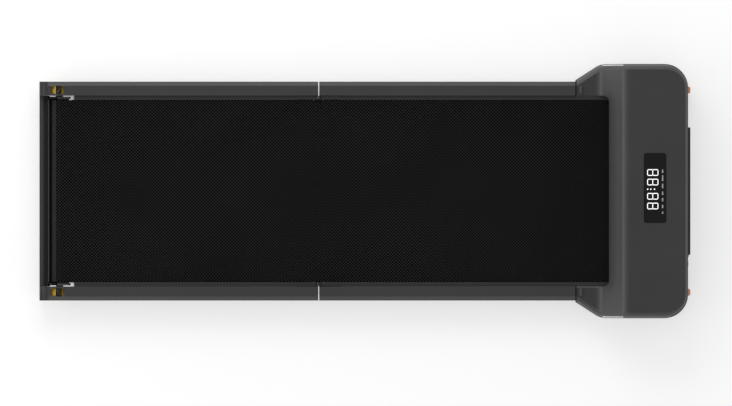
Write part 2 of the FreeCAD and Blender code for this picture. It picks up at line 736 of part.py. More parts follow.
def round_rear_top(body):
    """Round the upper rear edges of an end cap."""
    doc.recompute()
    last = body.Tip
    low = value("cover_bottom") + TOUCH
    edges = []
    for number, edge in enumerate(last.Shape.Edges, start=1):
        ends = [vertex.Point for vertex in edge.Vertexes]
        at_rear = all(abs(end.x) < TOUCH for end in ends)
        rises_inside = all(abs(end.y - value("end_cap_in")) < TOUCH for end in ends)
        if at_rear and not rises_inside and max(end.z for end in ends) > low:
            edges.append(f"Edge{number}")
    fillet = body.newObject("PartDesign::Fillet", "end_cap_edge_round")
    fillet.Base = (last, edges)
    fillet.setExpression("Radius", ex("end_cap_edge"))


def wheels():
    """Four alike wheels with ring grooves, each on an axle through its rail tube."""
    for half, x in (("front", "front_wheel_x"), ("rear", "rear_wheel_x")):
        name = f"{half}_wheel"
        y = around("wheel_y", "wheel_wide")
        tyre = rod(name + "_tyre", "y", "wheel_radius", y, x=x, z="wheel_z")
        bore = rod(name + "_bore", "y", "axle_radius + shaft_fit", (f"{y[0]} - over", f"{y[1]} + over"),
                   x=x, z="wheel_z")
        rings = []
        for side, span in (("inner", (f"{y[0]} - over", f"{y[0]} + wheel_groove")),
                           ("outer", (f"{y[1]} - wheel_groove", f"{y[1]} + over"))):
            disc = rod(f"{name}_{side}_disc", "y", "wheel_ring_radius", span, x=x, z="wheel_z")
            hub = rod(f"{name}_{side}_hub", "y", "wheel_hub_radius", span, x=x, z="wheel_z")
            rings.append(less(f"{name}_{side}_ring", disc, hub))
        keep_pair(less(name, tyre, bore, *rings), name)
        axle = rod(f"{half}_axle", "y", "axle_radius", ("tube_in", "tube_out + axle_stand_out"),
                   x=x, z="wheel_z")
        keep_both(axle, f"{half}_wheel_axles")


def hinges():
    """Strap hinges on the lips: one knuckle on the front leaf between two on the rear leaf."""
    third = "(hinge_out - hinge_in) / 3"
    spans = [(f"hinge_in + {third} * {step} + hinge_knuckle_gap / 2",
              f"hinge_in + {third} * {step + 1} - hinge_knuckle_gap / 2") for step in range(3)]
    for half, sign, steps in (("front", "+", (1,)), ("rear", "-", (0, 2))):
        name = f"hinge_leaf_{half}"
        near = f"fold_x {sign} hinge_strap_start"
        far = f"fold_x {sign} (hinge_strap_start + hinge_strap_long)"
        reach = f"fold_x {sign} (hinge_strap_start + hinge_strap_thick)"
        strap_x = (near, far) if sign == "+" else (far, near)
        arm_x = ("fold_x", reach) if sign == "+" else (reach, "fold_x")
        pieces = [box(name + "_strap", strap_x, ("hinge_in", "hinge_out"),
                      ("lip_top", "lip_top + hinge_strap_thick"))]
        for step in steps:
            pieces.append(box(f"{name}_arm_{step}", arm_x, spans[step], ("lip_top", "hinge_z")))
            pieces.append(rod(f"{name}_knuckle_{step}", "y", "knuckle_radius", spans[step],
                              x="fold_x", z="hinge_z"))
        bore = rod(name + "_bore", "y", "hinge_pin_radius + shaft_fit",
                   ("hinge_in - over", "hinge_out + over"), x="fold_x", z="hinge_z")
        keep_both(less(name, joined(name + "_blank", *pieces), bore), f"hinge_leaves_{half}")
    pin = rod("hinge_pin_rod", "y", "hinge_pin_radius", ("hinge_in", "hinge_out"), x="fold_x", z="hinge_z")
    keep_both(pin, "hinge_pins")


HOOD_OUTSIDE = {
    "rear": "wing_x", "rear_half": "wing_half", "flare": "wing_flare_x", "half": "hood_half",
    "front": "hood_front_x", "inset": "0"}
HOOD_INSIDE = {
    "rear": "wing_x + hood_wall", "rear_half": "wing_half + hood_wall * wing_slope - wing_wall_rise",
    "flare": "wing_x + (hood_half - hood_wall - wing_half + wing_wall_rise) / wing_slope",
    "half": "hood_half - hood_wall", "front": "hood_front_x - hood_wall", "inset": "hood_wall"}


def hood_plan(name, edge, span):
    """The hood's outline from above, as a block with rounded corners."""
    outline = [
        (edge["rear"], f"-({edge['rear_half']})"),
        (edge["flare"], f"-({edge['half']})"),
        (edge["front"], f"-({edge['half']})"),
        (edge["front"], edge["half"]),
        (edge["flare"], edge["half"]),
        (edge["rear"], edge["rear_half"]),
    ]
    rounds = ((f"wing_flare_round - {edge['inset']}", (1, 4)), (f"hood_corner - {edge['inset']}", (2, 3)))
    return prism(name, "z", outline, span, rounds)


def round_top(body, radius):
    """Round the upper edges of a block all the way round."""
    doc.recompute()
    last = body.Tip
    top = last.Shape.BoundBox.ZMax
    edges = []
    for number, edge in enumerate(last.Shape.Edges, start=1):
        if edge.BoundBox.ZMin > top - TOUCH:
            edges.append(f"Edge{number}")
    fillet = body.newObject("PartDesign::Fillet", body.Name + "_top_round")
    fillet.Base = (last, edges)
    fillet.setExpression("Radius", ex(radius))


def hood_form(name, edge, bottom, wing_z, top_z, shift):
    """The hood's whole form: its outline from above within its outline from the side."""
    plan = hood_plan(name + "_plan", edge, (bottom, top_z))
    round_top(plan, f"hood_edge_round - {edge['inset']}")
    side = [
        (f"{edge['rear']} - over", f"{bottom} - over"),
        (f"{edge['rear']} - over", wing_z),
        (f"ramp_foot_x + {shift}", wing_z),
        (f"ramp_crest_x + {shift}", f"{top_z}"),
        (f"{edge['front']} + over", f"{top_z}"),
        (f"{edge['front']} + over", f"{bottom} - over"),
    ]
    rounds = ((f"ramp_foot_round + {edge['inset']}", (2,)), (f"ramp_crest_round - {edge['inset']}", (3,)))
    return shared(name, plan, prism(name + "_side", "y", side, both_ways(f"{edge['half']} + over"), rounds))


def opening_block(name, grow):
    """The space over the belt between the wings."""
    outline = [
        ("wing_x - opening_half", f"-(opening_half + {grow})"),
        (f"opening_x + {grow}", f"-(opening_half + {grow})"),
        (f"opening_x + {grow}", f"opening_half + {grow}"),
        ("wing_x - opening_half", f"opening_half + {grow}"),
    ]
    return prism(name, "z", outline, ("0", "hood_top + over"), ((f"opening_round + {grow}", (1, 2)),))


def boss_places():
    """Where the hood's screws stand."""
    side = "hood_half - boss_in"
    front = "hood_front_x - boss_in"
    return [
        ("side_boss_x", side), ("side_boss_x", f"-({side})"),
        ("side_boss_front_x", side), ("side_boss_front_x", f"-({side})"),
        (front, "front_boss_y"), (front, "-front_boss_y")]


def wheel_wells(name):
    """The spaces in the hood's front that the wheels stand in."""
    left = box(name, ("front_wheel_x - slot_half", "front_x"), TUBE_HOLLOW_Y,
               ("hood_bottom - over", "wheel_z + wheel_radius + tube_wall"))
    return [left, mirrored(left)]


def hood():
    """Cover, base pan, screws, bumpers and front strip."""
    outside = less("hood_outside_open", hood_form("hood_outside", HOOD_OUTSIDE, "hood_split_z", "wing_top",
                                                  "hood_top", "0"), opening_block("opening", "0"))
    inside = less("hood_inside_open", hood_form("hood_inside", HOOD_INSIDE, "hood_split_z - over",
                                                "wing_top - hood_wall", "cover_under", "ramp_shift"),
                  opening_block("opening_wall", "hood_wall"))
    shell = less("hood_shell", outside, inside)
    screw_top = "hood_split_z + boss_tall - hood_wall"
    cover_bosses, pan_bosses, cover_holes, pan_holes, screws = [], [], [], [], []
    for number, (x, y) in enumerate(boss_places()):
        cover_bosses.append(rod(f"cover_boss_{number}", "z", "boss_radius",
                                ("hood_split_z", "hood_split_z + boss_tall"), x=x, y=y))
        cover_holes.append(rod(f"cover_hole_{number}", "z", "hood_screw_radius + shaft_fit",
                               ("hood_split_z - over", screw_top), x=x, y=y))
        pan_bosses.append(rod(f"pan_boss_{number}", "z", "boss_radius",
                              ("hood_bottom", "hood_split_z"), x=x, y=y))
        pan_holes.append(rod(f"pan_hole_{number}", "z", "hood_screw_radius + shaft_fit",
                             ("hood_bottom - over", "hood_split_z + over"), x=x, y=y))
        screws.append(joined(f"hood_screw_{number}",
                             rod(f"hood_screw_{number}_head", "z", "hood_screw_head",
                                 ("hood_bottom - hood_screw_head_tall", "hood_bottom"), x=x, y=y),
                             rod(f"hood_screw_{number}_shank", "z", "hood_screw_radius",
                                 ("hood_bottom", f"{screw_top} - running_gap"), x=x, y=y)))
    belt_slot = box("belt_slot", ("opening_x - opening_round - over", "opening_x + hood_wall + over"),
                    both_ways("opening_half"), ("hood_split_z - over", "belt_slot_top"))
    tube_room = box("tube_room", ("wing_x - over", "opening_x + opening_round + hood_wall"),
                    ("tube_in - tube_room", "tube_out + tube_wall"), ("hood_split_z - over", "tube_top"))
    display = display_window("display_window", "0", ("cover_under - over", "hood_top + over"))
    cover = less("hood_cover_cut", joined("hood_cover_blank", shell, *cover_bosses), belt_slot, tube_room,
                 mirrored(tube_room), display, *wheel_wells("cover_well"), *cover_holes)
    keep(cover, "hood_cover")

    pan = less("pan_tray", hood_plan("pan_outside", HOOD_OUTSIDE, ("hood_bottom", "hood_split_z")),
               hood_plan("pan_inside", HOOD_INSIDE, ("floor_z", "hood_split_z + over")))
    rear_door = box("pan_rear_door", ("wing_x - over", "wing_x + hood_wall + over"),
                    both_ways("rail_half + over"), ("floor_z", "hood_split_z + over"))
    keep(less("hood_base_cut", joined("pan_blank", pan, *pan_bosses), rear_door, *wheel_wells("pan_well"),
              *pan_holes, *panel_holes()), "hood_base")
    keep(group("hood_screw_group", screws), "hood_screws")

    bumper_outline = [
        ("bumper_x - bumper_wide / 2", "wheel_y - bumper_long / 2"),
        ("bumper_x + bumper_wide / 2", "wheel_y - bumper_long / 2"),
        ("bumper_x + bumper_wide / 2", "wheel_y + bumper_long / 2"),
        ("bumper_x - bumper_wide / 2", "wheel_y + bumper_long / 2")]
    bumper = prism("wing_bumper", "z", bumper_outline, ("wing_top", "wing_top + bumper_tall"),
                   (("bumper_round", (0, 1, 2, 3)),))
    keep_both(bumper, "wing_bumpers")

    strip_outline = [
        ("-strip_long / 2", "strip_bottom"), ("strip_long / 2", "strip_bottom"),
        ("strip_long / 2", "strip_bottom + strip_tall"), ("-strip_long / 2", "strip_bottom + strip_tall")]
    keep(prism("front_strip_bar", "x", strip_outline, ("hood_front_x", "hood_front_x + strip_thick"),
               (("strip_round", (0, 1, 2, 3)),)), "front_strip")


def display_window(name, inset, span):
    """A block of the display's outline."""
    x = around("display_x", f"display_wide - 2 * {inset}")
    y = around("display_y", f"display_long - 2 * {inset}")
    outline = [(x[0], y[0]), (x[1], y[0]), (x[1], y[1]), (x[0], y[1])]
    return prism(name, "z", outline, span, ((f"display_round - {inset}", (0, 1, 2, 3)),))


def display():
    """Glossy lens flush in the hood's top, and the board under it on four standoffs."""
    lens = display_window("display_lens_plate", "lens_gap", ("hood_top - lens_thick", "hood_top"))
    keep(lens, "display_lens")
    board_top = "cover_under - display_board_drop"
    half_x = "(display_wide / 2 + display_board_edge)"
    half_y = "(display_long / 2 + display_board_edge)"
    pieces = [box("display_board_plate", (f"display_x - {half_x}", f"display_x + {half_x}"),
                  (f"display_y - {half_y}", f"display_y + {half_y}"),
                  (f"{board_top} - display_board_thick", board_top))]
    for x_sign in "+-":
        for y_sign in "+-":
            pieces.append(rod(f"display_standoff_{len(pieces)}", "z", "standoff_radius",
                              (board_top, "cover_under"),
                              x=f"display_x {x_sign} ({half_x} - standoff_radius)",
                              y=f"display_y {y_sign} ({half_y} - standoff_radius)"))
    keep(joined("display_board_set", *pieces), "display_board")


def pulley(name, radius, bore, x, z):
    """A belt pulley with a rim on each side."""
    pieces = [
        rod(name + "_face", "y", radius, ("pulley_low", "pulley_high"), x=x, z=z),
        rod(name + "_inner_rim", "y", f"{radius} + pulley_rim_rise",
            ("pulley_low - pulley_rim", "pulley_low"), x=x, z=z),
        rod(name + "_outer_rim", "y", f"{radius} + pulley_rim_rise",
            ("pulley_high", "pulley_high + pulley_rim"), x=x, z=z)]
    hole = rod(name + "_hole", "y", f"{bore} + shaft_fit",
               ("pulley_low - pulley_rim - over", "pulley_high + pulley_rim + over"), x=x, z=z)
    return less(name, joined(name + "_blank", *pieces), hole)


def belt_loop(grow):
    """Outline of the ribbed belt: an arc round each pulley and the two straight runs between them."""
    near = FreeCAD.Vector(value("drive_roller_x"), value("pulley_low + running_gap"), value("roller_axis_z"))
    far = FreeCAD.Vector(value("motor_x"), near.y, value("motor_z"))
    near_radius = value("drive_pulley_radius + running_gap") + grow
    far_radius = value("motor_pulley_radius + running_gap") + grow
    line = far.sub(near)
    heading = math.atan2(line.z, line.x)
    spread = math.acos((near_radius - far_radius) / line.Length)

    def on(centre, radius, angle):
        return centre.add(FreeCAD.Vector(radius * math.cos(angle), 0, radius * math.sin(angle)))

    upper, lower = heading + spread, heading - spread
    edges = [
        Part.LineSegment(on(near, near_radius, upper), on(far, far_radius, upper)),
        Part.Arc(on(far, far_radius, upper), on(far, far_radius, heading), on(far, far_radius, lower)),
        Part.LineSegment(on(far, far_radius, lower), on(near, near_radius, lower)),
        Part.Arc(on(near, near_radius, lower), on(near, near_radius, heading + math.pi),
                 on(near, near_radius, upper))]
    return Part.Wire([edge.toShape() for edge in edges])


def drive():
    """Drive roller, its shaft, bearing blocks and pulley, the motor on its plate, and the ribbed belt."""
    keep(roller_tube("drive_roller", "drive_roller_x", "drive_shaft_radius + shaft_fit"), "drive_roller")
    at_roller = {"x": "drive_roller_x", "z": "roller_axis_z"}
    keep(rod("drive_shaft_rod", "y", "drive_shaft_radius",
             ("-(tube_in)", "pulley_high + pulley_rim"), **at_roller), "drive_shaft")
    block = box("bearing_block_bar", around("drive_roller_x", "bearing_block_long"),
                ("tube_in - bearing_block_wide", "tube_in"), ("bearing_block_bottom", "tube_top"))
    bore = rod("bearing_block_bore", "y", "drive_shaft_radius + shaft_fit",
               ("tube_in - bearing_block_wide - over", "tube_in + over"), **at_roller)
    keep_both(less("bearing_block", block, bore), "bearing_blocks")
    keep(pulley("drive_pulley_wheel", "drive_pulley_radius", "drive_shaft_radius",
                "drive_roller_x", "roller_axis_z"), "drive_pulley")

    at_motor = {"x": "motor_x", "z": "motor_z"}
    case = rod("motor_case", "y", "motor_radius", ("motor_face_y - motor_long", "motor_face_y"), **at_motor)
    bell = rod("motor_bell", "y", "motor_bell_radius",
               ("motor_face_y - motor_long - motor_bell_long", "motor_face_y - motor_long"), **at_motor)
    shaft_start = "motor_face_y - motor_shaft_in"
    bore = rod("motor_bore", "y", "motor_shaft_radius + shaft_fit",
               (f"{shaft_start} - running_gap", "motor_face_y + over"), **at_motor)
    keep(less("motor_cut", joined("motor_blank", case, bell), bore), "motor")
    keep(rod("motor_shaft_rod", "y", "motor_shaft_radius",
             (shaft_start, "pulley_high + pulley_rim"), **at_motor), "motor_shaft")
    keep(pulley("motor_pulley_wheel", "motor_pulley_radius", "motor_shaft_radius", "motor_x", "motor_z"),
         "motor_pulley")
    plate = box("motor_plate_upright", around("motor_x", "2 * motor_plate_half"),
                ("motor_face_y", "motor_face_y + motor_plate"), ("tube_top", "motor_z + motor_plate_half"))
    foot = box("motor_plate_foot", ("motor_x - motor_plate_half", "motor_x + motor_foot_front"),
               ("motor_face_y", "tube_out"), ("tube_top", "tube_top + motor_plate"))
    hole = rod("motor_plate_hole", "y", "motor_shaft_radius + motor_plate",
               ("motor_face_y - over", "tube_in + over"), **at_motor)
    keep(less("motor_bracket_cut", joined("motor_bracket_bent", plate, foot), hole), "motor_bracket")

    ring = Part.Face(belt_loop(value("ribbed_belt_thick"))).cut(Part.Face(belt_loop(0)))
    loop = doc.addObject("Part::Feature", "ribbed_belt")
    loop.Shape = ring.extrude(FreeCAD.Vector(0, value("pulley_wide - 2 * running_gap"), 0))
    keep(loop, "drive_belt")


def electronics():
    """Motor controller board on standoffs with a finned heat sink."""
    x = ("controller_x", "controller_x + controller_long")
    y = around("controller_y", "controller_wide")
    board_low = "floor_z + controller_rise"
    pieces = [box("controller_plate", x, y, (board_low, f"{board_low} + board_thick"))]
    for post_x in (f"{x[0]} + sink_edge / 2", f"{x[1]} - sink_edge / 2"):
        for post_y in (f"{y[0]} + sink_edge / 2", f"{y[1]} - sink_edge / 2"):
            pieces.append(rod(f"controller_post_{len(pieces)}", "z", "standoff_radius",
                              ("floor_z", board_low), x=post_x, y=post_y))
    keep(joined("controller_set", *pieces), "controller_board")
    sink_low = f"{board_low} + board_thick"
    fin_low = f"{sink_low} + sink_base"
    sink_x = (f"{x[0]} + sink_edge", f"{x[1]} - sink_edge")
    sink_y = (f"{y[0]} + sink_edge", f"{y[1]} - sink_edge")
    fins = [box("sink_plate", sink_x, sink_y, (sink_low, fin_low))]
    count = int(value("sink_fins"))
    for number in range(count):
        fin_y = f"{sink_y[0]} + (controller_wide - 2 * sink_edge - sink_fin_thick) * {number} / {count - 1}"
        fins.append(box(f"sink_fin_{number}", sink_x, (fin_y, f"{fin_y} + sink_fin_thick"),
                        (fin_low, f"{fin_low} + sink_fin_tall")))
    keep(joined("sink_set", *fins), "heat_sink")


def panel_block(name, place, wide, tall, x, grow="0"):
    """A block on the hood's front, grown by an edge all round."""
    return box(name, x, around(place, f"{wide} + 2 * ({grow})"),
               around("panel_z", f"{tall} + 2 * ({grow})"))


def panel_holes():
    """Cut-outs for the inlet, the switch and the reset button in the base pan's front."""
    through = ("hood_front_x - hood_wall - over", "hood_front_x + over")
    return [
        panel_block("inlet_hole", "inlet_y", "inlet_wide", "inlet_tall", through, "shaft_fit"),
        panel_block("switch_hole", "switch_y", "switch_wide", "switch_tall", through, "shaft_fit"),
        rod("reset_hole", "x", "reset_collar + shaft_fit", through, y="reset_y", z="panel_z")]


def panel():
    """Power inlet with its prongs, rocker switch in its housing, and reset button in its collar."""
    flange_x = ("hood_front_x", "panel_x")
    body = joined("inlet_blank",
                  panel_block("inlet_body", "inlet_y", "inlet_wide", "inlet_tall",
                              ("hood_front_x - inlet_deep", "hood_front_x")),
                  panel_block("inlet_flange", "inlet_y", "inlet_wide", "inlet_tall", flange_x, "inlet_rim"))
    cavity = panel_block("inlet_space", "inlet_y", "inlet_wide", "inlet_tall",
                         ("panel_x - inlet_cavity", "panel_x + over"), "-inlet_wall")
    prongs = []
    for number, step in enumerate((-1, 0, 1)):
        prongs.append(box(f"inlet_prong_{number}",
                          ("panel_x - inlet_cavity", "panel_x - inlet_cavity + prong_long"),
                          around(f"inlet_y + prong_step * ({step})", "prong_thick"),
                          around("panel_z", "prong_wide")))
    keep(joined("inlet_set", less("inlet_shell", body, cavity), *prongs), "power_inlet")

    housing = joined("switch_blank",
                     panel_block("switch_body", "switch_y", "switch_wide", "switch_tall",
                                 ("hood_front_x - switch_deep", "hood_front_x")),
                     panel_block("switch_flange", "switch_y", "switch_wide", "switch_tall", flange_x,
                                 "switch_wall"))
    well = panel_block("switch_well", "switch_y", "switch_wide", "switch_tall",
                       ("hood_front_x - switch_deep + switch_wall", "panel_x + over"), "-switch_wall")
    pivot_hole = rod("switch_pivot_hole", "y", "rocker_pin_radius + shaft_fit",
                     around("switch_y", "switch_wide"), x="rocker_x", z="panel_z")
    keep(less("switch_shell", housing, well, pivot_hole), "switch_housing")
    outline = [
        ("-rocker_thick / 2", "-rocker_tall / 2"), ("rocker_thick / 2", "-rocker_tall / 2"),
        ("rocker_thick / 3", "0"), ("rocker_thick / 2", "rocker_tall / 2"),
        ("-rocker_thick / 2", "rocker_tall / 2")]
    rocker_y = around("switch_y", "switch_wide - 2 * switch_wall - 2 * rocker_side_gap")
    paddle = prism("rocker_paddle", "y", outline, rocker_y)
    paddle.Placement.Rotation = FreeCAD.Rotation(FreeCAD.Vector(0, 1, 0), value("rocker_tilt"))
    paddle.setExpression("Placement.Base.x", ex("rocker_x"))
    paddle.setExpression("Placement.Base.z", ex("panel_z"))
    pins = rod("rocker_pins", "y", "rocker_pin_radius", around("switch_y", "switch_wide - switch_wall / 2"),
               x="rocker_x", z="panel_z")
    keep(joined("rocker_set", paddle, pins), "power_rocker")

    at_reset = {"y": "reset_y", "z": "panel_z"}
    collar = joined("reset_blank",
                    rod("reset_barrel", "x", "reset_collar", ("hood_front_x - reset_deep", "hood_front_x"),
                        **at_reset),
                    rod("reset_flange", "x", "reset_collar + inlet_rim", flange_x, **at_reset))
    floor = "hood_front_x - reset_deep + inlet_rim"
    bore = rod("reset_bore", "x", "reset_radius + running_gap", (floor, "panel_x + over"), **at_reset)
    keep(less("reset_shell", collar, bore), "reset_collar")
    keep(rod("reset_plunger", "x", "reset_radius",
             (f"{floor} + reset_travel + inlet_rim", "hood_front_x + reset_stand_out"), **at_reset),
         "reset_button")


def check_and_write():
    """Stop if any object failed, and write every sub-part to its own file."""
    doc.recompute()
    for thing in doc.Objects:
        if "Invalid" in thing.State or "Error" in thing.State:
            raise RuntimeError(f"{thing.Label} failed: {thing.State}")
    os.makedirs("parts", exist_ok=True)
    for part in NODES:
        shape = part.Shape
        if shape.isNull() or not shape.isValid() or not shape.Solids:
            raise RuntimeError(f"{part.Label} has no valid solid")
        shape.exportStep(f"parts/{part.Label}.step")
    print(len(NODES), "sub-parts written")


frame()
rail_covers()
belts()
rear_roller()
rear_end()
wheels()
hinges()
hood()
display()
drive()
electronics()
panel()
check_and_write()
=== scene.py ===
"""Folding walking pad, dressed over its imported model: hood, belt, wheels, display, rails and finishes."""
import json
import math
from itertools import pairwise

import bmesh
import bpy
from bpy.props import FloatProperty, FloatVectorProperty, IntProperty, PointerProperty
from mathutils import Matrix, Vector


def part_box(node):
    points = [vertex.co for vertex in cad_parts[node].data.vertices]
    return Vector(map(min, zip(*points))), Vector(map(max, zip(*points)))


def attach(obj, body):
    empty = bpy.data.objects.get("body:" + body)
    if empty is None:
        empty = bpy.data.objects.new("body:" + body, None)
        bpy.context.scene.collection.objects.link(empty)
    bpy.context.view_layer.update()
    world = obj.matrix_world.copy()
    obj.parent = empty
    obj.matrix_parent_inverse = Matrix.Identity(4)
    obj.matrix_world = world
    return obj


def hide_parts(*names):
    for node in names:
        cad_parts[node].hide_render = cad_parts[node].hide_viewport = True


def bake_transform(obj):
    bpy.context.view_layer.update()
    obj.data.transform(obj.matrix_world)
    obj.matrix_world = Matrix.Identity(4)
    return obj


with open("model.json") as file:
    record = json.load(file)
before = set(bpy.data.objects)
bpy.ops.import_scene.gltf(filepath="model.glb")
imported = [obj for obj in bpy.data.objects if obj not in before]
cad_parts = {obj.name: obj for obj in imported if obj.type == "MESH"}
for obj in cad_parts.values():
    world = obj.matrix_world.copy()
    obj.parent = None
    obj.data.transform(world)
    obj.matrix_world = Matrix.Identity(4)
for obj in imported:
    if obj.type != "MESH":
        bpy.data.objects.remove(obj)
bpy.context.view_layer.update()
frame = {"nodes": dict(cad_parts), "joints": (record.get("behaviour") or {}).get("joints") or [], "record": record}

bl_info = {
    "name": "Folding walking pad",
    "version": (1, 0, 0),
    "blender": (4, 5, 0),
    "location": "View3D > Sidebar > Walking pad",
    "description": "Dresses the packed walking pad with its shaped pieces and finishes",
    "category": "Object",
}

HOOD_LOW, HOOD_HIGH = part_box("hood_cover")
LENS_LOW, LENS_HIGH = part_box("display_lens")
BELT_LOW, BELT_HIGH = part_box("belt_front")
SLOT_OF = {part["node"]: part["material_slot"] for part in frame["record"]["subparts"]}
BODY_OF = {node: body for body, nodes in frame["record"]["behaviour"]["bodies"].items() for node in nodes}
PLACE_OF = {joint["name"]: Vector(joint["pos_m"]) for joint in frame["joints"] if "pos_m" in joint}
FOLD = PLACE_OF["fold"]
DRIVE_X, REAR_X = PLACE_OF["drive_roller_turn"].x, PLACE_OF["rear_roller_turn"].x
ROLLER_Z = PLACE_OF["drive_roller_turn"].z

LENS_TRIM = 0.003           # the lens stops this short of its node's front end
LENS_HIGH.x -= LENS_TRIM
BELT_HALF = 0.2001
BELT_LOW.y, BELT_HIGH.y = -BELT_HALF, BELT_HALF
BELT_THICK = 0.0017
RETURN_DEPTH = 0.006        # faces of the belt that lie lower than this above its foot are the returning run
REST_PLACE = "rest_place"   # attribute that the pattern of the returning run reads
FRONT_ROUND, OPENING_ROUND = 0.053, 0.014   # radii in plan: the hood's front corners, the belt opening's
# the hood's finishes: plain charcoal, the rim band painted light as a highlight, the front outer band painted dark
# as shade
HOOD_LOOKS = "hood_plastic", "hood_edge", "hood_shade"
PLAIN, EDGE, SHADE = range(3)               # places of these in the hood's list of finishes
RIM_BREAK = 0.545                           # where the steep band bends, as a share of its width
SIDE_FALL = 1, 0.66, 0.375, 0               # shares of the rim's drop at its lines, on the sides
FRONT_FALL = 1, 0.217, 0.058, 0             # and on the front
FILM = 0.0002                               # thickness of the display's lit digits and marks
DIGITS_X, DIGITS_Y = 0.6312, (0.0407, 0.0198, -0.0114, -0.0328)
DOTS_X, DOTS_Y = (0.6200, 0.6270, 0.6350), 0.0041
MARKS_X = 0.6514, 0.6542
MARK_GROUPS = (                             # middle of each group of marks and how many it has
    (0.0434, 3), (0.0282, 5), (0.0112, 4), (-0.0048, 3), (-0.0189, 3), (-0.0337, 3), (-0.0473, 2))
NEAR = 1e-5                 # points closer than this are one place
PAST = 0.01                 # how far a cutter reaches beyond what it cuts
X, Y, Z = range(3)


class PadSizes(bpy.types.PropertyGroup):
    """Sizes of the shaped pieces that a user may change."""
    rim_outer: FloatProperty(
        name="Outer rim", description="Width of the steep band along the hood's edge", default=0.0055,
        unit="LENGTH")
    rim_inner: FloatProperty(
        name="Inner rim", description="Width of the shallow band inside the steep one", default=0.0065,
        unit="LENGTH")
    rim_drop: FloatProperty(
        name="Rim drop", description="Fall of the hood's edge below its top", default=0.012, unit="LENGTH")
    hood_wall: FloatProperty(
        name="Hood wall", description="Thickness of the moulded hood", default=0.003, unit="LENGTH")
    ramp_foot: FloatProperty(
        name="Ramp foot", description="Where the hood's ramp starts", default=0.516, unit="LENGTH")
    ramp_crest: FloatProperty(
        name="Ramp crest", description="Where the hood's ramp ends", default=0.570, unit="LENGTH")
    joint_gap: FloatProperty(
        name="Joint gap", description="Seam between the rails and the hood's wings", default=0.0018,
        unit="LENGTH")
    opening_front: FloatProperty(
        name="Opening front", description="Front edge of the belt opening", default=0.536, unit="LENGTH")
    opening_half: FloatProperty(
        name="Opening half", description="Half the width of the belt opening", default=0.2095, unit="LENGTH")
    wing_top: FloatProperty(
        name="Wing top", description="Height of the level wings beside the belt", default=0.057,
        unit="LENGTH")
    diamond_pitch: FloatProperty(
        name="Diamond pitch", description="Step of the raised diamonds on the belt", default=0.007,
        unit="LENGTH")
    diamond_reach: FloatProperty(
        name="Diamond reach", description="Middle to corner of one diamond", default=0.0026, unit="LENGTH")
    diamond_rise: FloatProperty(
        name="Diamond rise", description="Height of the diamonds above the belt", default=0.0006,
        unit="LENGTH")
    digit_height: FloatProperty(
        name="Digit height", description="Height of the display's digits", default=0.0250, unit="LENGTH")
    digit_width: FloatProperty(
        name="Digit width", description="Width of the display's digits", default=0.0148, unit="LENGTH")
    stroke: FloatProperty(
        name="Digit stroke", description="Width of one digit segment", default=0.0022, unit="LENGTH")
    wheel_sides: IntProperty(
        name="Wheel sides", description="Facets round a wheel", default=64, min=16)


class PadColours(bpy.types.PropertyGroup):
    """Colours of the finishes that a user may change."""
    charcoal: FloatVectorProperty(
        name="Charcoal", description="Moulded hood and rails", subtype="COLOR",
        default=(0.0345, 0.0345, 0.0345))
    black: FloatVectorProperty(
        name="Black", description="Plain black mouldings", subtype="COLOR", default=(0.012, 0.012, 0.012))
    belt: FloatVectorProperty(
        name="Belt", description="Walking belt", subtype="COLOR", default=(0.0118, 0.0118, 0.0118))
    orange: FloatVectorProperty(
        name="Orange", description="Front wheels", subtype="COLOR", default=(0.43, 0.14, 0.036))
    # painted light: a lighter, yellower copy of the wheels' orange, for the lit rear wheels and the arches over
    # them
    gold: FloatVectorProperty(
        name="Gold", description="Rear wheels and the arches over them", subtype="COLOR",
        default=(1.0, 0.62, 0.10))
    floor: FloatVectorProperty(
        name="Floor", description="Studio floor", subtype="COLOR", default=(0.93, 0.93, 0.93))


def sizes():
    return bpy.context.scene.pad_sizes


def colours():
    return bpy.context.scene.pad_colours


# Modelling

def leave():
    """Leave edit mode."""
    bpy.ops.object.mode_set(mode="OBJECT")


def let_go():
    """Leave edit mode with nothing selected, so that a new primitive stands alone."""
    if bpy.context.mode != "OBJECT":
        leave()
    bpy.ops.object.select_all(action="DESELECT")


def take(obj):
    """Make one piece the only selected and active one, out of edit mode."""
    let_go()
    obj.select_set(True)
    bpy.context.view_layer.objects.active = obj
    return obj


def settle(obj, name):
    """Name a new piece and put its place, turn and scale into its mesh."""
    take(obj)
    obj.name = name
    obj.data.name = name
    bpy.ops.object.transform_apply(location=True, rotation=True, scale=True)
    return obj


def block(name, low, high):
    """A block between two corners."""
    let_go()
    low, high = Vector(low), Vector(high)
    bpy.ops.mesh.primitive_cube_add(size=1, location=(low + high) / 2)
    obj = bpy.context.object
    obj.scale = high - low
    return settle(obj, name)


def sheet(name, low, high, z):
    """A flat sheet at one height."""
    let_go()
    bpy.ops.mesh.primitive_plane_add(size=1, location=((low[0] + high[0]) / 2, (low[1] + high[1]) / 2, z))
    obj = bpy.context.object
    obj.scale = (high[0] - low[0], high[1] - low[1], 1)
    return settle(obj, name)


def disc(name, centre, radius, depth, along, sides):
    """A round bar about a centre."""
    turn = {"x": (0, math.pi / 2, 0), "y": (math.pi / 2, 0, 0), "z": (0, 0, 0)}[along]
    let_go()
    bpy.ops.mesh.primitive_cylinder_add(
        vertices=sides, radius=radius, depth=depth, location=centre, rotation=turn)
    return settle(bpy.context.object, name)


def edit(obj):
    """Enter edit mode with all of a piece selected."""
    take(obj)
    bpy.ops.object.mode_set(mode="EDIT")
    bpy.ops.mesh.select_all(action="SELECT")


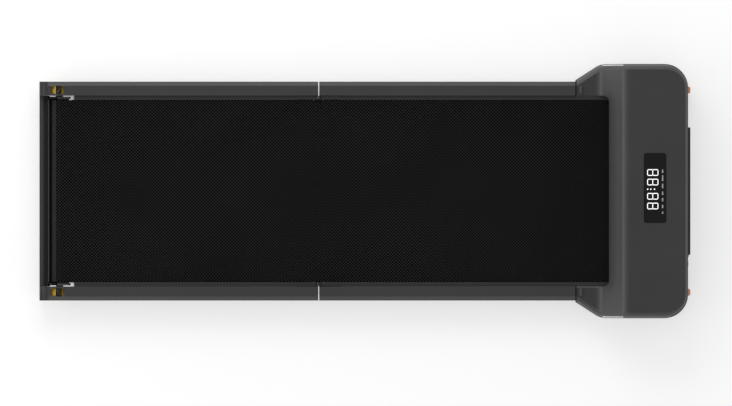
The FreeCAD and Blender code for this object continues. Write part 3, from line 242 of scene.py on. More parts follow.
def choose(obj, kind, test):
    """Select the vertices, edges or faces that a test accepts, in edit mode."""
    bpy.ops.mesh.select_mode(type=kind)
    bpy.ops.mesh.select_all(action="DESELECT")
    shape = bmesh.from_edit_mesh(obj.data)
    shape.normal_update()
    found = 0
    for thing in {"VERT": shape.verts, "EDGE": shape.edges, "FACE": shape.faces}[kind]:
        if test(thing):
            thing.select_set(True)
            found += 1
    bmesh.update_edit_mesh(obj.data)
    if not found:
        raise RuntimeError(f"nothing to shape on {obj.name}")


def spans(edge, axis, least):
    """Whether an edge reaches further than that along an axis."""
    first, last = edge.verts
    return abs(first.co[axis] - last.co[axis]) > least


def slice_at(place, direction, **options):
    """Cut everything in edit mode with a plane."""
    bpy.ops.mesh.select_all(action="SELECT")
    bpy.ops.mesh.bisect(plane_co=place, plane_no=direction, **options)


def slice_evenly(middle, half, steps):
    """Divide everything in edit mode into equal steps along the pad."""
    for step in range(1, steps):
        slice_at((middle - half + 2 * half * step / steps, 0, 0), (1, 0, 0))


def round_off(obj, kind, test, width, steps):
    """Round the edges that a test accepts, or the borders of the faces that it accepts."""
    edit(obj)
    choose(obj, kind, test)
    bpy.ops.mesh.bevel(offset=width, segments=steps, affect="EDGES")
    leave()
    return obj


def add_modifier(obj, kind, **settings):
    """Put a modifier with its settings on a piece."""
    modifier = obj.modifiers.new(kind.title(), kind)
    for key, value in settings.items():
        setattr(modifier, key, value)
    return modifier


def modify(obj, kind, **settings):
    """Add a modifier and apply it."""
    take(obj)
    bpy.ops.object.modifier_apply(modifier=add_modifier(obj, kind, **settings).name)
    return obj


def cut(obj, *cutters, crossing=False):
    """Take other solids out of a piece; crossing is for a piece whose own faces cross."""
    for cutter in cutters:
        modify(obj, "BOOLEAN", operation="DIFFERENCE", solver="EXACT", object=cutter, use_self=crossing)
        if not obj.data.polygons:
            raise RuntimeError(f"nothing left of {obj.name}")
        bpy.data.objects.remove(cutter)
    return obj


def soften(obj, width):
    """Round the sharp edges of a piece and shade it."""
    modify(obj, "BEVEL", width=width, segments=2, limit_method="ANGLE", angle_limit=math.radians(35),
           miter_outer="MITER_ARC", use_clamp_overlap=True)
    return shade(obj)


def shade(obj, angle=35):
    """Smooth shading that keeps sharp edges and flat faces."""
    take(obj)
    bpy.ops.object.shade_smooth_by_angle(angle=math.radians(angle))
    modify(obj, "WEIGHTED_NORMAL", keep_sharp=True, weight=80)
    return obj


def join(name, pieces):
    """Make several pieces one."""
    take(pieces[0])
    for piece in pieces[1:]:
        piece.select_set(True)
    bpy.ops.object.join()
    return settle(bpy.context.object, name)


def twin(obj, name):
    """A copy of a piece with its own mesh."""
    copy = obj.copy()
    copy.data = obj.data.copy()
    copy.name = name
    bpy.context.scene.collection.objects.link(copy)
    return copy


def mirrored_twin(obj, name):
    """A copy of a piece on the other side of the middle line, its faces still pointing outwards."""
    copy = twin(obj, name)
    copy.scale = (1, -1, 1)
    settle(copy, name)
    edit(copy)
    bpy.ops.mesh.normals_make_consistent(inside=False)
    leave()
    return copy


def paint(obj, *names):
    """Give a piece these finishes in place of any other."""
    obj.data.materials.clear()
    for name in names:
        obj.data.materials.append(finish(name))


def ride_as(obj, slot, body, *nodes):
    """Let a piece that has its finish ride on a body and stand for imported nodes."""
    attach(obj, body)
    if nodes:
        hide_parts(*nodes)


def dress(obj, slot, body, *nodes, look=None):
    """Give a piece its slot's finish or a look of its own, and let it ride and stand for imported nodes."""
    paint(obj, look or slot)
    ride_as(obj, slot, body, *nodes)


def dress_pair(piece, slot, body, *nodes, look=None):
    """Dress a piece on the left and its twin on the right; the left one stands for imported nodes."""
    other = mirrored_twin(piece, piece.name.replace("_left", "_right"))
    dress(piece, slot, body, *nodes, look=look)
    dress(other, slot, body, look=look)


# Finishes

def new_finish(name):
    """A new material with its nodes, its shader and a place on the piece for its patterns."""
    material = bpy.data.materials.new(name)
    material.use_nodes = True
    tree = material.node_tree
    place = tree.nodes.new("ShaderNodeTexCoord")
    return material, tree, tree.nodes["Principled BSDF"], place.outputs["Object"]


def feed(tree, value, entry):
    """Link a value from another node to a socket, or set the socket to a plain value."""
    if isinstance(value, bpy.types.NodeSocket):
        tree.links.new(value, entry)
    else:
        entry.default_value = value


def maths(tree, operation, *values, vector=False):
    """Reckon with values from other nodes and plain ones, or with vectors."""
    node = tree.nodes.new("ShaderNodeVectorMath" if vector else "ShaderNodeMath")
    node.operation = operation
    for value, entry in zip(values, node.inputs):
        feed(tree, value, entry)
    return node.outputs["Vector" if vector and operation != "LENGTH" else "Value"]


def coordinate(tree, place, axis):
    """One coordinate of a place."""
    parts = tree.nodes.new("ShaderNodeSeparateXYZ")
    tree.links.new(place, parts.inputs["Vector"])
    return parts.outputs[axis]


def noise(tree, place, scale, detail=3, stretch=None):
    """A noise pattern in steps per metre, drawn out along an axis where stretch says so."""
    if stretch:
        mapping = tree.nodes.new("ShaderNodeMapping")
        mapping.inputs["Scale"].default_value = stretch
        tree.links.new(place, mapping.inputs["Vector"])
        place = mapping.outputs["Vector"]
    pattern = tree.nodes.new("ShaderNodeTexNoise")
    pattern.inputs["Scale"].default_value = scale
    pattern.inputs["Detail"].default_value = detail
    tree.links.new(place, pattern.inputs["Vector"])
    return pattern.outputs["Fac"]


def bricks(tree, place, settings):
    """A pattern of rows of bricks."""
    pattern = tree.nodes.new("ShaderNodeTexBrick")
    for key, value in settings.items():
        pattern.inputs[key].default_value = value
    tree.links.new(place, pattern.inputs["Vector"])
    return pattern


def spread(tree, value, low, high, start=0.3, end=0.7):
    """Turn a pattern into a range of numbers."""
    ranged = tree.nodes.new("ShaderNodeMapRange")
    ranged.inputs["From Min"].default_value = start
    ranged.inputs["From Max"].default_value = end
    ranged.inputs["To Min"].default_value = low
    ranged.inputs["To Max"].default_value = high
    tree.links.new(value, ranged.inputs["Value"])
    return ranged.outputs["Result"]


def tones(tree, value, dark, light):
    """Blend two colours, each plain or from another node, by a pattern."""
    mix = tree.nodes.new("ShaderNodeMix")
    mix.data_type = "RGBA"
    for colour, entry in ((dark, mix.inputs["A"]), (light, mix.inputs["B"])):
        feed(tree, colour if isinstance(colour, bpy.types.NodeSocket) else (*colour, 1), entry)
    tree.links.new(value, mix.inputs["Factor"])
    return mix.outputs["Result"]


def shaded(colour, factor):
    """A colour made darker or lighter."""
    return tuple(channel * factor for channel in colour)


def relief(tree, shader, value, strength, distance):
    """Raise a surface by a pattern."""
    bump = tree.nodes.new("ShaderNodeBump")
    bump.inputs["Strength"].default_value = strength
    bump.inputs["Distance"].default_value = distance
    tree.links.new(value, bump.inputs["Height"])
    tree.links.new(bump.outputs["Normal"], shader.inputs["Normal"])


def within(tree, place, axis, low, high):
    """One where a coordinate, taken without its sign, lies in a range, else nought."""
    size = maths(tree, "ABSOLUTE", coordinate(tree, place, axis))
    return maths(tree, "COMPARE", size, (low + high) / 2, (high - low) / 2)


def moulded(name, colour, contrast, rough, grain, depth, tone=1, specular=0.5, painted_light_zone=None, zone_tone=1):
    """A moulded finish: soft clouds in the colour, fine grain in gloss and surface, perhaps a band painted in a
    tone of black as light or shade.
    """
    material, tree, shader, place = new_finish(name)
    plain = shaded(getattr(colours(), colour) if isinstance(colour, str) else colour, tone)
    clouds = spread(tree, noise(tree, place, scale=9, detail=4), 0, 1)
    base = tones(tree, clouds, shaded(plain, 1 - contrast), shaded(plain, 1 + contrast))
    if painted_light_zone:
        base = tones(tree, within(tree, place, *painted_light_zone), base, shaded(colours().black, zone_tone))
    tree.links.new(base, shader.inputs["Base Color"])
    specks = noise(tree, place, scale=grain, detail=2)
    tree.links.new(spread(tree, specks, rough - 0.05, rough + 0.07), shader.inputs["Roughness"])
    shader.inputs["Specular IOR Level"].default_value = specular
    relief(tree, shader, specks, strength=0.35, distance=depth)
    return material


def turned(name, colour, rough, stretch):
    """A metal finish with fine lines from brushing or turning."""
    material, tree, shader, place = new_finish(name)
    lines = noise(tree, place, scale=60, detail=4, stretch=stretch)
    tree.links.new(tones(tree, spread(tree, lines, 0, 1), shaded(colour, 0.82), colour),
                   shader.inputs["Base Color"])
    tree.links.new(spread(tree, lines, rough - 0.08, rough + 0.1), shader.inputs["Roughness"])
    relief(tree, shader, lines, strength=0.15, distance=0.0002)
    shader.inputs["Metallic"].default_value = 1
    return material


def hood_finish(name):
    """The hood's charcoal, with painted shade a little darker on the border of the belt opening below the ramp."""
    border_start, border_end, painted_shade_tone = OPENING_ROUND + 0.010, OPENING_ROUND + 0.017, 0.64
    material = moulded(name, "charcoal", contrast=0.05, rough=0.48, grain=900, depth=0.0002)
    tree = material.node_tree
    pad = sizes()
    place = tree.nodes.new("ShaderNodeTexCoord").outputs["Object"]
    corner = (pad.opening_front - OPENING_ROUND, pad.opening_half - OPENING_ROUND, 0)
    past = maths(tree, "SUBTRACT", maths(tree, "ABSOLUTE", place, vector=True), corner, vector=True)
    clipped = maths(tree, "MAXIMUM", past, (0, 0, 0), vector=True)
    flat = maths(tree, "MULTIPLY", clipped, (1, 1, 0), vector=True)
    reach = maths(tree, "LENGTH", flat, vector=True)
    near = spread(tree, reach, 1, 0, border_start, border_end)
    ahead = spread(tree, coordinate(tree, place, "X"), 0, 1, pad.ramp_foot + 0.008, pad.ramp_foot + 0.022)
    border = maths(tree, "MULTIPLY", near, ahead)
    base = tree.nodes["Principled BSDF"].inputs["Base Color"]
    dark = shaded(colours().charcoal, painted_shade_tone)
    tree.links.new(tones(tree, border, base.links[0].from_socket, dark), base)
    return material


def painted_lit_orange_finish(name):
    """The wheels' orange painted lighter and yellower as light, with a soft metal sheen and fine flecks."""
    material = moulded(name, "gold", contrast=0.06, rough=0.28, grain=600, depth=0.0001)
    material.node_tree.nodes["Principled BSDF"].inputs["Metallic"].default_value = 0.15
    return material


def board_finish(name):
    """Dark laminated board with fine fibres along the deck."""
    material, tree, shader, place = new_finish(name)
    fibres = noise(tree, place, scale=40, detail=5, stretch=(0.4, 8, 20))
    tree.links.new(tones(tree, spread(tree, fibres, 0, 1), (0.045, 0.032, 0.022), (0.10, 0.075, 0.05)),
                   shader.inputs["Base Color"])
    tree.links.new(spread(tree, fibres, 0.5, 0.7), shader.inputs["Roughness"])
    relief(tree, shader, fibres, strength=0.2, distance=0.0003)
    return material


def circuit_finish(name):
    """Green laminate with copper lines in blocks."""
    material, tree, shader, place = new_finish(name)
    lines = bricks(tree, place, {
        "Color1": (0.012, 0.075, 0.03, 1), "Color2": (0.016, 0.09, 0.038, 1), "Mortar": (0.10, 0.13, 0.05, 1),
        "Scale": 60, "Mortar Size": 0.03})
    tree.links.new(lines.outputs["Color"], shader.inputs["Base Color"])
    tree.links.new(spread(tree, noise(tree, place, scale=120), 0.25, 0.45), shader.inputs["Roughness"])
    relief(tree, shader, lines.outputs["Fac"], strength=0.3, distance=0.0002)
    return material


def belt_back_finish(name):
    """The returning run's rubber, with flat diamonds on the lattice of the walking run's raised ones."""
    material, tree, shader, place = new_finish(name)
    rest = tree.nodes.new("ShaderNodeAttribute")
    rest.attribute_name = REST_PLACE
    turn = tree.nodes.new("ShaderNodeMapping")
    turn.inputs["Rotation"].default_value = (0, 0, math.pi / 4)
    tree.links.new(rest.outputs["Vector"], turn.inputs["Vector"])
    belt = colours().belt
    diamonds = bricks(tree, turn.outputs["Vector"], {
        "Color1": (*shaded(belt, 1.15), 1), "Color2": (*belt, 1), "Mortar": (*shaded(belt, 0.3), 1),
        "Scale": math.sqrt(2) / sizes().diamond_pitch, "Brick Width": 1, "Row Height": 1,
        "Mortar Size": 0.13})
    diamonds.offset = 0
    tree.links.new(diamonds.outputs["Color"], shader.inputs["Base Color"])
    specks = noise(tree, place, scale=1400, detail=2)
    tree.links.new(spread(tree, specks, 0.55, 0.67), shader.inputs["Roughness"])
    shader.inputs["Specular IOR Level"].default_value = 0.25
    raised = spread(tree, diamonds.outputs["Fac"], 1, 0, 0, 1)
    relief(tree, shader, raised, strength=0.4, distance=0.0004)
    return material


def lit_finish(name, strength):
    """White light behind the display's digits and marks."""
    white = 1, 1, 1
    material, tree, shader, place = new_finish(name)
    glow = spread(tree, noise(tree, place, scale=300, detail=2), 0.92, 1)
    tree.links.new(tones(tree, glow, shaded(white, strength * 0.3), shaded(white, strength * 0.4)),
                   shader.inputs["Base Color"])
    shader.inputs["Roughness"].default_value = 0.4
    shader.inputs["Emission Color"].default_value = (*white, 1)
    tree.links.new(spread(tree, glow, strength * 0.9, strength, 0, 1), shader.inputs["Emission Strength"])
    return material


FINISHES = {
    "charcoal_plastic": (moulded, dict(
        colour="charcoal", contrast=0.05, rough=0.48, grain=900, depth=0.0002)),
    # painted shade: the rail covers' inner lip beside the belt is near black, as in shade
    "rail_plastic": (moulded, dict(
        colour="charcoal", contrast=0.05, rough=0.48, grain=900, depth=0.0002, painted_light_zone=("Y", 0, 0.2102),
        zone_tone=1.6)),
    # painted shade: the tail bar's end towards the belt is near black, as the dark gap there
    "tail_plastic": (moulded, dict(
        colour="charcoal", tone=0.85, contrast=0.06, rough=0.5, grain=900, depth=0.0002, specular=0.45,
        painted_light_zone=("X", 0.69, 0.7049), zone_tone=0.4)),
    "dark_plastic": (moulded, dict(
        colour="black", contrast=0.12, rough=0.55, grain=700, depth=0.0002, specular=0.18)),
    # painted light: the belt and its diamonds are lighter where they wrap round the rollers near the pad's ends,
    # as lit from the side
    "belt_rubber": (moulded, dict(
        colour="belt", tone=0.06, contrast=0.2, rough=0.75, grain=1400, depth=0.0002, specular=0.01,
        painted_light_zone=("X", 0.68, 0.72), zone_tone=1.4)),
    "belt_diamond": (moulded, dict(
        colour="belt", contrast=0.15, rough=0.6, grain=1400, depth=0.0001, specular=0.2,
        painted_light_zone=("X", 0.68, 0.72), zone_tone=2.0)),
    "belt_back": (belt_back_finish, {}),
    # painted shade: seam strips and hinge leaves as dark as the rail lip's painted shade, so the dark strip runs
    # on across the fold
    "seam_rubber": (moulded, dict(
        colour="black", tone=1.7, contrast=0.1, rough=0.55, grain=700, depth=0.0002, specular=0.4)),
    "hinge_steel": (moulded, dict(
        colour="black", tone=1.7, contrast=0.12, rough=0.45, grain=350, depth=0.0003, specular=0.4)),
    "soft_rubber": (moulded, dict(
        colour=(0.02, 0.02, 0.02), contrast=0.15, rough=0.7, grain=500, depth=0.0003, specular=0.35)),
    "black_steel": (moulded, dict(
        colour=(0.014, 0.014, 0.015), contrast=0.15, rough=0.42, grain=350, depth=0.0003, specular=0.25)),
    "bright_steel": (turned, dict(colour=(0.78, 0.78, 0.77), rough=0.3, stretch=(1, 14, 1))),
    # painted shade: the rear roller's steel, shaft, bearings and tension bolts darkened as in shade
    "shaded_steel": (turned, dict(colour=(0.10, 0.10, 0.10), rough=0.4, stretch=(1, 14, 1))),
    "cast_alloy": (turned, dict(colour=(0.55, 0.55, 0.56), rough=0.42, stretch=(6, 1, 6))),
    "orange_plastic": (moulded, dict(colour="orange", contrast=0.08, rough=0.34, grain=260, depth=0.0002)),
    "hood_plastic": (hood_finish, {}),
    # painted light: charcoal lightened as a highlight on the hood's rim band and as light on the roller end
    # covers; the next is charcoal darkened as painted shade on the hood's front outer band
    "hood_edge": (moulded, dict(
        colour="charcoal", tone=2.2, contrast=0.05, rough=0.45, grain=900, depth=0.0002)),
    "hood_shade": (moulded, dict(
        colour="charcoal", tone=0.4, contrast=0.05, rough=0.5, grain=900, depth=0.0002, specular=0.3)),
    "painted_lit_orange_plastic": (painted_lit_orange_finish, {}),
    # painted highlight: bracket tops near white; painted shade: near black below the top 4 mm
    "bracket_highlight_and_shade": (moulded, dict(
        colour=(0.97, 0.97, 0.97), contrast=0.02, rough=0.4, grain=300, depth=0.0001, painted_light_zone=("Z", 0, 0.0475))),
    "bumper_rubber": (moulded, dict(
        colour="charcoal", tone=1.7, contrast=0.08, rough=0.6, grain=500, depth=0.0002)),
    "strip_rubber": (moulded, dict(
        colour="charcoal", tone=0.95, contrast=0.08, rough=0.6, grain=500, depth=0.0002)),
    "display_black": (moulded, dict(
        colour=(0.009, 0.009, 0.009), contrast=0.1, rough=0.16, grain=60, depth=0.00005, specular=0.2)),
    "deck_board": (board_finish, {}),
    "circuit_board": (circuit_finish, {}),
    "switch_black": (moulded, dict(
        colour=(0.01, 0.01, 0.01), contrast=0.15, rough=0.3, grain=400, depth=0.0001)),
    "digit_light": (lit_finish, dict(strength=0.95)),
    "mark_light": (lit_finish, dict(strength=0.42)),
}


def finish(name):
    """The finish of that name, made the first time that it is asked for."""
    full_name = "pad_" + name
    if full_name not in bpy.data.materials:
        make, settings = FINISHES[name]
        make(full_name, **settings)
    return bpy.data.materials[full_name]


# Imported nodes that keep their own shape

RAIL_COVERS = (
    "rail_cover_front_left", "rail_cover_front_right", "rail_cover_rear_left", "rail_cover_rear_right")
HINGE_LEAVES = "hinge_leaves_front", "hinge_leaves_rear"
ROLLER_STEEL = (
    "rear_roller", "rear_roller_shaft", "rear_roller_bearings", "tension_bolt_left", "tension_bolt_right")
OWN_FINISH = {
    **dict.fromkeys(RAIL_COVERS, "rail_plastic"), **dict.fromkeys(HINGE_LEAVES, "hinge_steel"),
    **dict.fromkeys(ROLLER_STEEL, "shaded_steel"), "tail_bar": "tail_plastic"}
SOFT_EDGES = {
    **dict.fromkeys(RAIL_COVERS, 0.0006), **dict.fromkeys(HINGE_LEAVES, 0.0003),
    "tail_bar": 0.0005, "power_inlet": 0.0004, "switch_housing": 0.0004}


def finish_nodes():
    """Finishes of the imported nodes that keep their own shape, with softened edges where they show."""
    for name, node in frame["nodes"].items():
        paint(node, OWN_FINISH.get(name, SLOT_OF[name]))
        if name in SOFT_EDGES:
            add_modifier(node, "WELD", merge_threshold=NEAR)
            add_modifier(node, "DECIMATE", decimate_type="DISSOLVE", angle_limit=math.radians(1))
            add_modifier(node, "BEVEL", width=SOFT_EDGES[name], segments=2, limit_method="ANGLE",
                         angle_limit=math.radians(40))


# Hood

def ramp_sheet():
    """The hood's side outline as one bent sheet, level wing, ramp and level top, and where it bends."""
    pad = sizes()
    spare, half = 0.05, 0.3
    sweep = sheet("ramp_form", (HOOD_LOW.x - spare, -half), (pad.ramp_foot, half), pad.wing_top)
    edit(sweep)
    choose(sweep, "EDGE", lambda edge: all(vert.co.x > pad.ramp_foot - NEAR for vert in edge.verts))
    ramp = (pad.ramp_crest - pad.ramp_foot, 0, HOOD_HIGH.z - pad.wing_top)
    level_top = (0.2, 0, 0)
    for run in (ramp, level_top):
        bpy.ops.mesh.extrude_edges_move(TRANSFORM_OT_translate={"value": run})
    for x, width, steps in ((pad.ramp_foot, 0.0105, 7), (pad.ramp_crest, 0.011, 8)):
        choose(sweep, "EDGE", lambda edge: all(abs(vert.co.x - x) < NEAR for vert in edge.verts))
        bpy.ops.mesh.bevel(offset=width, offset_type="OFFSET", segments=steps, affect="EDGES")
    bends = sorted({round(vert.co.x, 6) for vert in bmesh.from_edit_mesh(sweep.data).verts})
    leave()
    return sweep, [x for x in bends if HOOD_LOW.x < x < HOOD_HIGH.x]


def nearest(point, edges):
    """Distance in plan from a point to the nearest of some edges, and the direction there."""
    best = Vector((1, 0))
    for start, end in edges:
        run = end - start
        along = max(0.0, min(1.0, (point - start).dot(run) / run.length_squared))
        way = start + run * along - point
        if way.length < best.length:
            best = way
    return best.length, best.normalized()


def between(value, knots, results):
    """Read a bent line: knots along it and the result at each."""
    for (low, high), (first, last) in zip(pairwise(knots), pairwise(results)):
        if value <= high:
            return first + (last - first) * (value - low) / (high - low)
    return results[-1]


def rim_lines():
    """Distances of the rim's lines from the hood's outer edge."""
    pad = sizes()
    return 0, RIM_BREAK * pad.rim_outer, pad.rim_outer, pad.rim_outer + pad.rim_inner


def rim_fall(reach, front=0):
    """How far the surface falls at a distance from the hood's edge, on a side or, with front 1, ahead."""
    side, ahead = (between(reach, rim_lines(), row) for row in (SIDE_FALL, FRONT_FALL))
    return sizes().rim_drop * (side + (ahead - side) * front)


def lip_fall(reach):
    """How far the surface falls at a distance from the belt opening's edge."""
    drop, width = 0.0016, 0.004
    return drop * max(0, 1 - reach / width) ** 2


def hood_outline(name):
    """The hood from above as one flat face: wings, flares, round corners and the belt opening."""
    pad = sizes()
    spare, wing_half, flare, flare_round = 0.023, 0.2444, 0.054, 0.0118
    plan = sheet(name, (HOOD_LOW.x - spare, HOOD_LOW.y), (HOOD_HIGH.x, HOOD_HIGH.y), 0)
    edit(plan)
    for side in (1, -1):
        slice_at((HOOD_LOW.x, side * wing_half, 0), (-(HOOD_HIGH.y - wing_half), side * flare, 0),
                 clear_outer=True)
        slice_at((0, side * pad.opening_half, 0), (0, 1, 0))
    slice_at((pad.opening_front, 0, 0), (1, 0, 0))
    choose(plan, "FACE", lambda face: face.calc_center_median().x < pad.opening_front
           and abs(face.calc_center_median().y) < pad.opening_half)
    bpy.ops.mesh.delete(type="FACE")
    bpy.ops.mesh.select_all(action="SELECT")
    bpy.ops.mesh.dissolve_limited(angle_limit=0.01)
    corners = ((HOOD_HIGH.x, HOOD_HIGH.y, FRONT_ROUND, 28),
               (HOOD_LOW.x + flare, HOOD_HIGH.y, flare_round, 12),
               (pad.opening_front, pad.opening_half, OPENING_ROUND, 14))
    for x, y, radius, steps in corners:
        choose(plan, "VERT", lambda vert: abs(vert.co.x - x) < NEAR and abs(abs(vert.co.y) - y) < NEAR)
        bpy.ops.mesh.bevel(offset=radius, segments=steps, affect="VERTICES")
    choose(plan, "FACE", lambda face: True)
    for line, following in pairwise(rim_lines()):
        bpy.ops.mesh.inset(thickness=following - line, use_boundary=True, use_even_offset=True)
    return plan


def on_opening(vert):
    """Whether a point of the hood lies on the belt opening."""
    pad = sizes()
    return abs(vert.co.y) < pad.opening_half + NEAR and vert.co.x < pad.opening_front + NEAR


def outline_edges(plan, inside):
    """Border edges of the plan, those of the belt opening or those of the outside."""
    found = []
    for edge in bmesh.from_edit_mesh(plan.data).edges:
        if edge.is_boundary and all(on_opening(vert) for vert in edge.verts) == inside:
            if not all(vert.co.x < HOOD_LOW.x + sizes().joint_gap + NEAR for vert in edge.verts):
                found.append(tuple(vert.co.to_2d() for vert in edge.verts))
    return found


def shape_rim(plan, outside, opening):
    """Let the hood fall in bands to its edges: a rim band painted light as a highlight, narrower on the front,
    where its outer band is painted dark as shade.
    """
    facing_front, front_break, front_inner = 0.25, 0.6, 0.0007
    lines = rim_lines()
    front_lines = 0, front_break * lines[2], lines[2], lines[2] + front_inner
    for face in plan.data.polygons:
        reach, toward = nearest(face.center.to_2d(), outside)
        if reach < lines[2]:
            face.material_index = SHADE if toward.x >= facing_front and reach < lines[1] else EDGE
    for vert in plan.data.vertices:
        place = vert.co.to_2d()
        reach, toward = nearest(place, outside)
        front = max(0, toward.x) ** 2 if place.x > HOOD_HIGH.x - FRONT_ROUND else 0
        vert.co.z -= rim_fall(reach, front) + lip_fall(nearest(place, opening)[0])
        if reach < lines[3] + NEAR:
            shift = toward * front * (reach - between(reach, lines, front_lines))
            vert.co.x += shift.x
            vert.co.y += shift.y


def drop_walls(plan):
    """Give the hood its walls: to its foot on the outside, and to two heights round the belt opening."""
    slot_long, slot_low, opening_low, upright_below = 0.0135, 0.062, 0.0552, 0.1
    slot_start = sizes().opening_front - slot_long

    def opening_foot(vert):
        return vert.co.z < HOOD_LOW.z + NEAR and on_opening(vert)

    edit(plan)
    choose(plan, "EDGE", lambda edge: edge.is_boundary)
    bpy.ops.mesh.extrude_edges_move(TRANSFORM_OT_translate={"value": (0, 0, -0.002)})
    bpy.ops.transform.resize(value=(1, 1, 0), center_override=(0, 0, HOOD_LOW.z))
    choose(plan, "VERT", lambda vert: opening_foot(vert) and vert.co.x > slot_start)
    bpy.ops.transform.translate(value=(0, 0, slot_low - HOOD_LOW.z))
    choose(plan, "VERT", opening_foot)
    bpy.ops.transform.translate(value=(0, 0, opening_low - HOOD_LOW.z))
    leave()
    for face in plan.data.polygons:
        if face.material_index == SHADE and abs(face.normal.z) < upright_below:
            face.material_index = PLAIN


def hood_cutters():
    """Room in the hood for the display, the rail tubes and the front wheels."""
    window_gap, under = 0.0002, 0.04
    cutters = [display_form("window_cutter", window_gap, LENS_LOW.z - PAST, LENS_HIGH.z + PAST)]
    rooms = (("tube_cutter", HOOD_LOW.x - PAST, 0.553, 0.2065, 0.2365, 0.0502),
             ("well_cutter", 0.668, 0.716, 0.2125, 0.2325, 0.048))
    for side in (1, -1):
        for name, start, end, inner, outer, top in rooms:
            low_y, high_y = sorted((side * inner, side * outer))
            cutters.append(block(name, (start, low_y, under), (end, high_y, top)))
    return cutters


def edge_trim(name, side):
    """Slim polished bead on the hood's outer edge along the ramp, a bright line that stands in for the glint
    there.
    """
    pad = sizes()
    slope = (HOOD_HIGH.z - pad.wing_top) / (pad.ramp_crest - pad.ramp_foot)
    inset, radius, tip = 0.0032, 0.0016, 0.0012
    foot_gap, crest_gap = 0.0065, 0.0035
    sunk = rim_fall(inset) + 0.0006
    start, end = (Vector((x, side * (HOOD_HIGH.y - inset), pad.wing_top + (x - pad.ramp_foot) * slope - sunk))
                  for x in (pad.ramp_foot + foot_gap, pad.ramp_crest - crest_gap))
    let_go()
    bpy.ops.mesh.primitive_cylinder_add(
        vertices=20, radius=radius, depth=(end - start).length, location=(start + end) / 2)
    bead = bpy.context.object
    bead.rotation_mode = "QUATERNION"
    bead.rotation_quaternion = (end - start).to_track_quat("Z", "Y")
    settle(bead, name)
    round_off(bead, "FACE", lambda face: len(face.verts) > 4, tip, 4)
    dress(shade(bead, 40), "bright_steel", "pad_front")


def make_hood():
    """The hood cover: a thin moulding with wings, ramp, stepped rim, display window and wheel wells."""
    pad = sizes()
    sweep, bends = ramp_sheet()
    plan = hood_outline("hood_cover_shell")
    for x in bends:
        slice_at((x, 0, 0), (1, 0, 0))
    slice_at((HOOD_LOW.x + pad.joint_gap, 0, 0), (1, 0, 0), clear_inner=True)
    leave()
    modify(plan, "SHRINKWRAP", target=sweep, wrap_method="PROJECT", use_project_z=True,
           use_positive_direction=True, use_negative_direction=True)
    bpy.data.objects.remove(sweep)
    edit(plan)
    outside, opening = outline_edges(plan, False), outline_edges(plan, True)
    leave()
    paint(plan, *HOOD_LOOKS)
    shape_rim(plan, outside, opening)
    drop_walls(plan)
    modify(plan, "SOLIDIFY", thickness=pad.hood_wall, offset=-1, use_even_offset=True, use_rim=True)
    cut(plan, *hood_cutters(), crossing=True)
    shade(plan, 14)
    ride_as(plan, "charcoal_plastic", "pad_front", "hood_cover")
    for side, name in ((1, "left"), (-1, "right")):
        edge_trim(f"hood_edge_trim_{name}", side)


# Display

def display_form(name, grow, low, high):
    """A block of the display's outline with round corners."""
    form = block(name, (LENS_LOW.x - grow, LENS_LOW.y - grow, low),
                 (LENS_HIGH.x + grow, LENS_HIGH.y + grow, high))
    return round_off(form, "EDGE", lambda edge: spans(edge, Z, (high - low) / 2), 0.006, 6)


def segment(name, long):
    """One digit segment: a thin bar with pointed ends."""
    pad = sizes()
    let_go()
    bpy.ops.mesh.primitive_cylinder_add(
        vertices=6, radius=pad.stroke / 2, depth=FILM, rotation=(0, 0, math.pi / 2))
    bar = settle(bpy.context.object, name)
    edit(bar)
    for side in (1, -1):
        choose(bar, "VERT", lambda vert: vert.co.x * side > 0)
        bpy.ops.transform.translate(value=(side * (long - pad.stroke) / 2, 0, 0))
    leave()
    return bar


def lit_digits():
    """The segments of four digits, and the dots between them."""
    pad = sizes()
    gap, dot_radius, top = 0.0009, 0.0016, LENS_HIGH.z + FILM / 2
    up, out = (pad.digit_height - pad.stroke) / 2, (pad.digit_width - pad.stroke) / 2
    upright, level = segment("upright", up - gap), segment("level", 2 * out - gap)
    bars = []
    for y in DIGITS_Y:
        for x in (-up, 0, up):
            bar = twin(level, "level_bar")
            bar.location = (DIGITS_X + x, y, top)
            bar.rotation_euler = (0, 0, math.pi / 2)
            bars.append(bar)
        for x in (-up / 2, up / 2):
            for side in (-out, out):
                bar = twin(upright, "upright_bar")
                bar.location = (DIGITS_X + x, y + side, top)
                bars.append(bar)
    bpy.data.objects.remove(upright)
    bpy.data.objects.remove(level)
    for x in DOTS_X:
        bars.append(disc("dot", (x, DOTS_Y, top), dot_radius, FILM, "z", 12))
    return bars


def lit_marks():
    """Small plain marks in groups beside the digits."""
    pitch, half = 0.0026, 0.0007
    marks = []
    for y, count in MARK_GROUPS:
        for step in range(count):
            middle = y + (step - (count - 1) / 2) * pitch
            marks.append(block("mark", (MARKS_X[0], middle - half, LENS_HIGH.z),
                               (MARKS_X[1], middle + half, LENS_HIGH.z + FILM)))
    return marks


def make_display():
    """Black lens flush in the hood, with lit digits, dots and small plain marks on it."""
    lens = display_form("display_glass", 0, LENS_LOW.z, LENS_HIGH.z)
    soften(lens, 0.0004)
    dress(lens, "display_black", "pad_front", "display_lens")
    lit = ("display_digits", "digit_light", lit_digits()), ("display_marks", "mark_light", lit_marks())
    for name, look, bars in lit:
        for bar in bars:
            settle(bar, bar.name)
        dress(shade(join(name, bars)), "display_black", "pad_front", look=look)


# Belts

def hold_pattern(obj):
    """Store where each point lies at rest, for a pattern to read."""
    spots = obj.data.attributes.new(REST_PLACE, "FLOAT_VECTOR", "POINT")
    for spot, vert in zip(spots.data, obj.data.vertices):
        spot.vector = vert.co


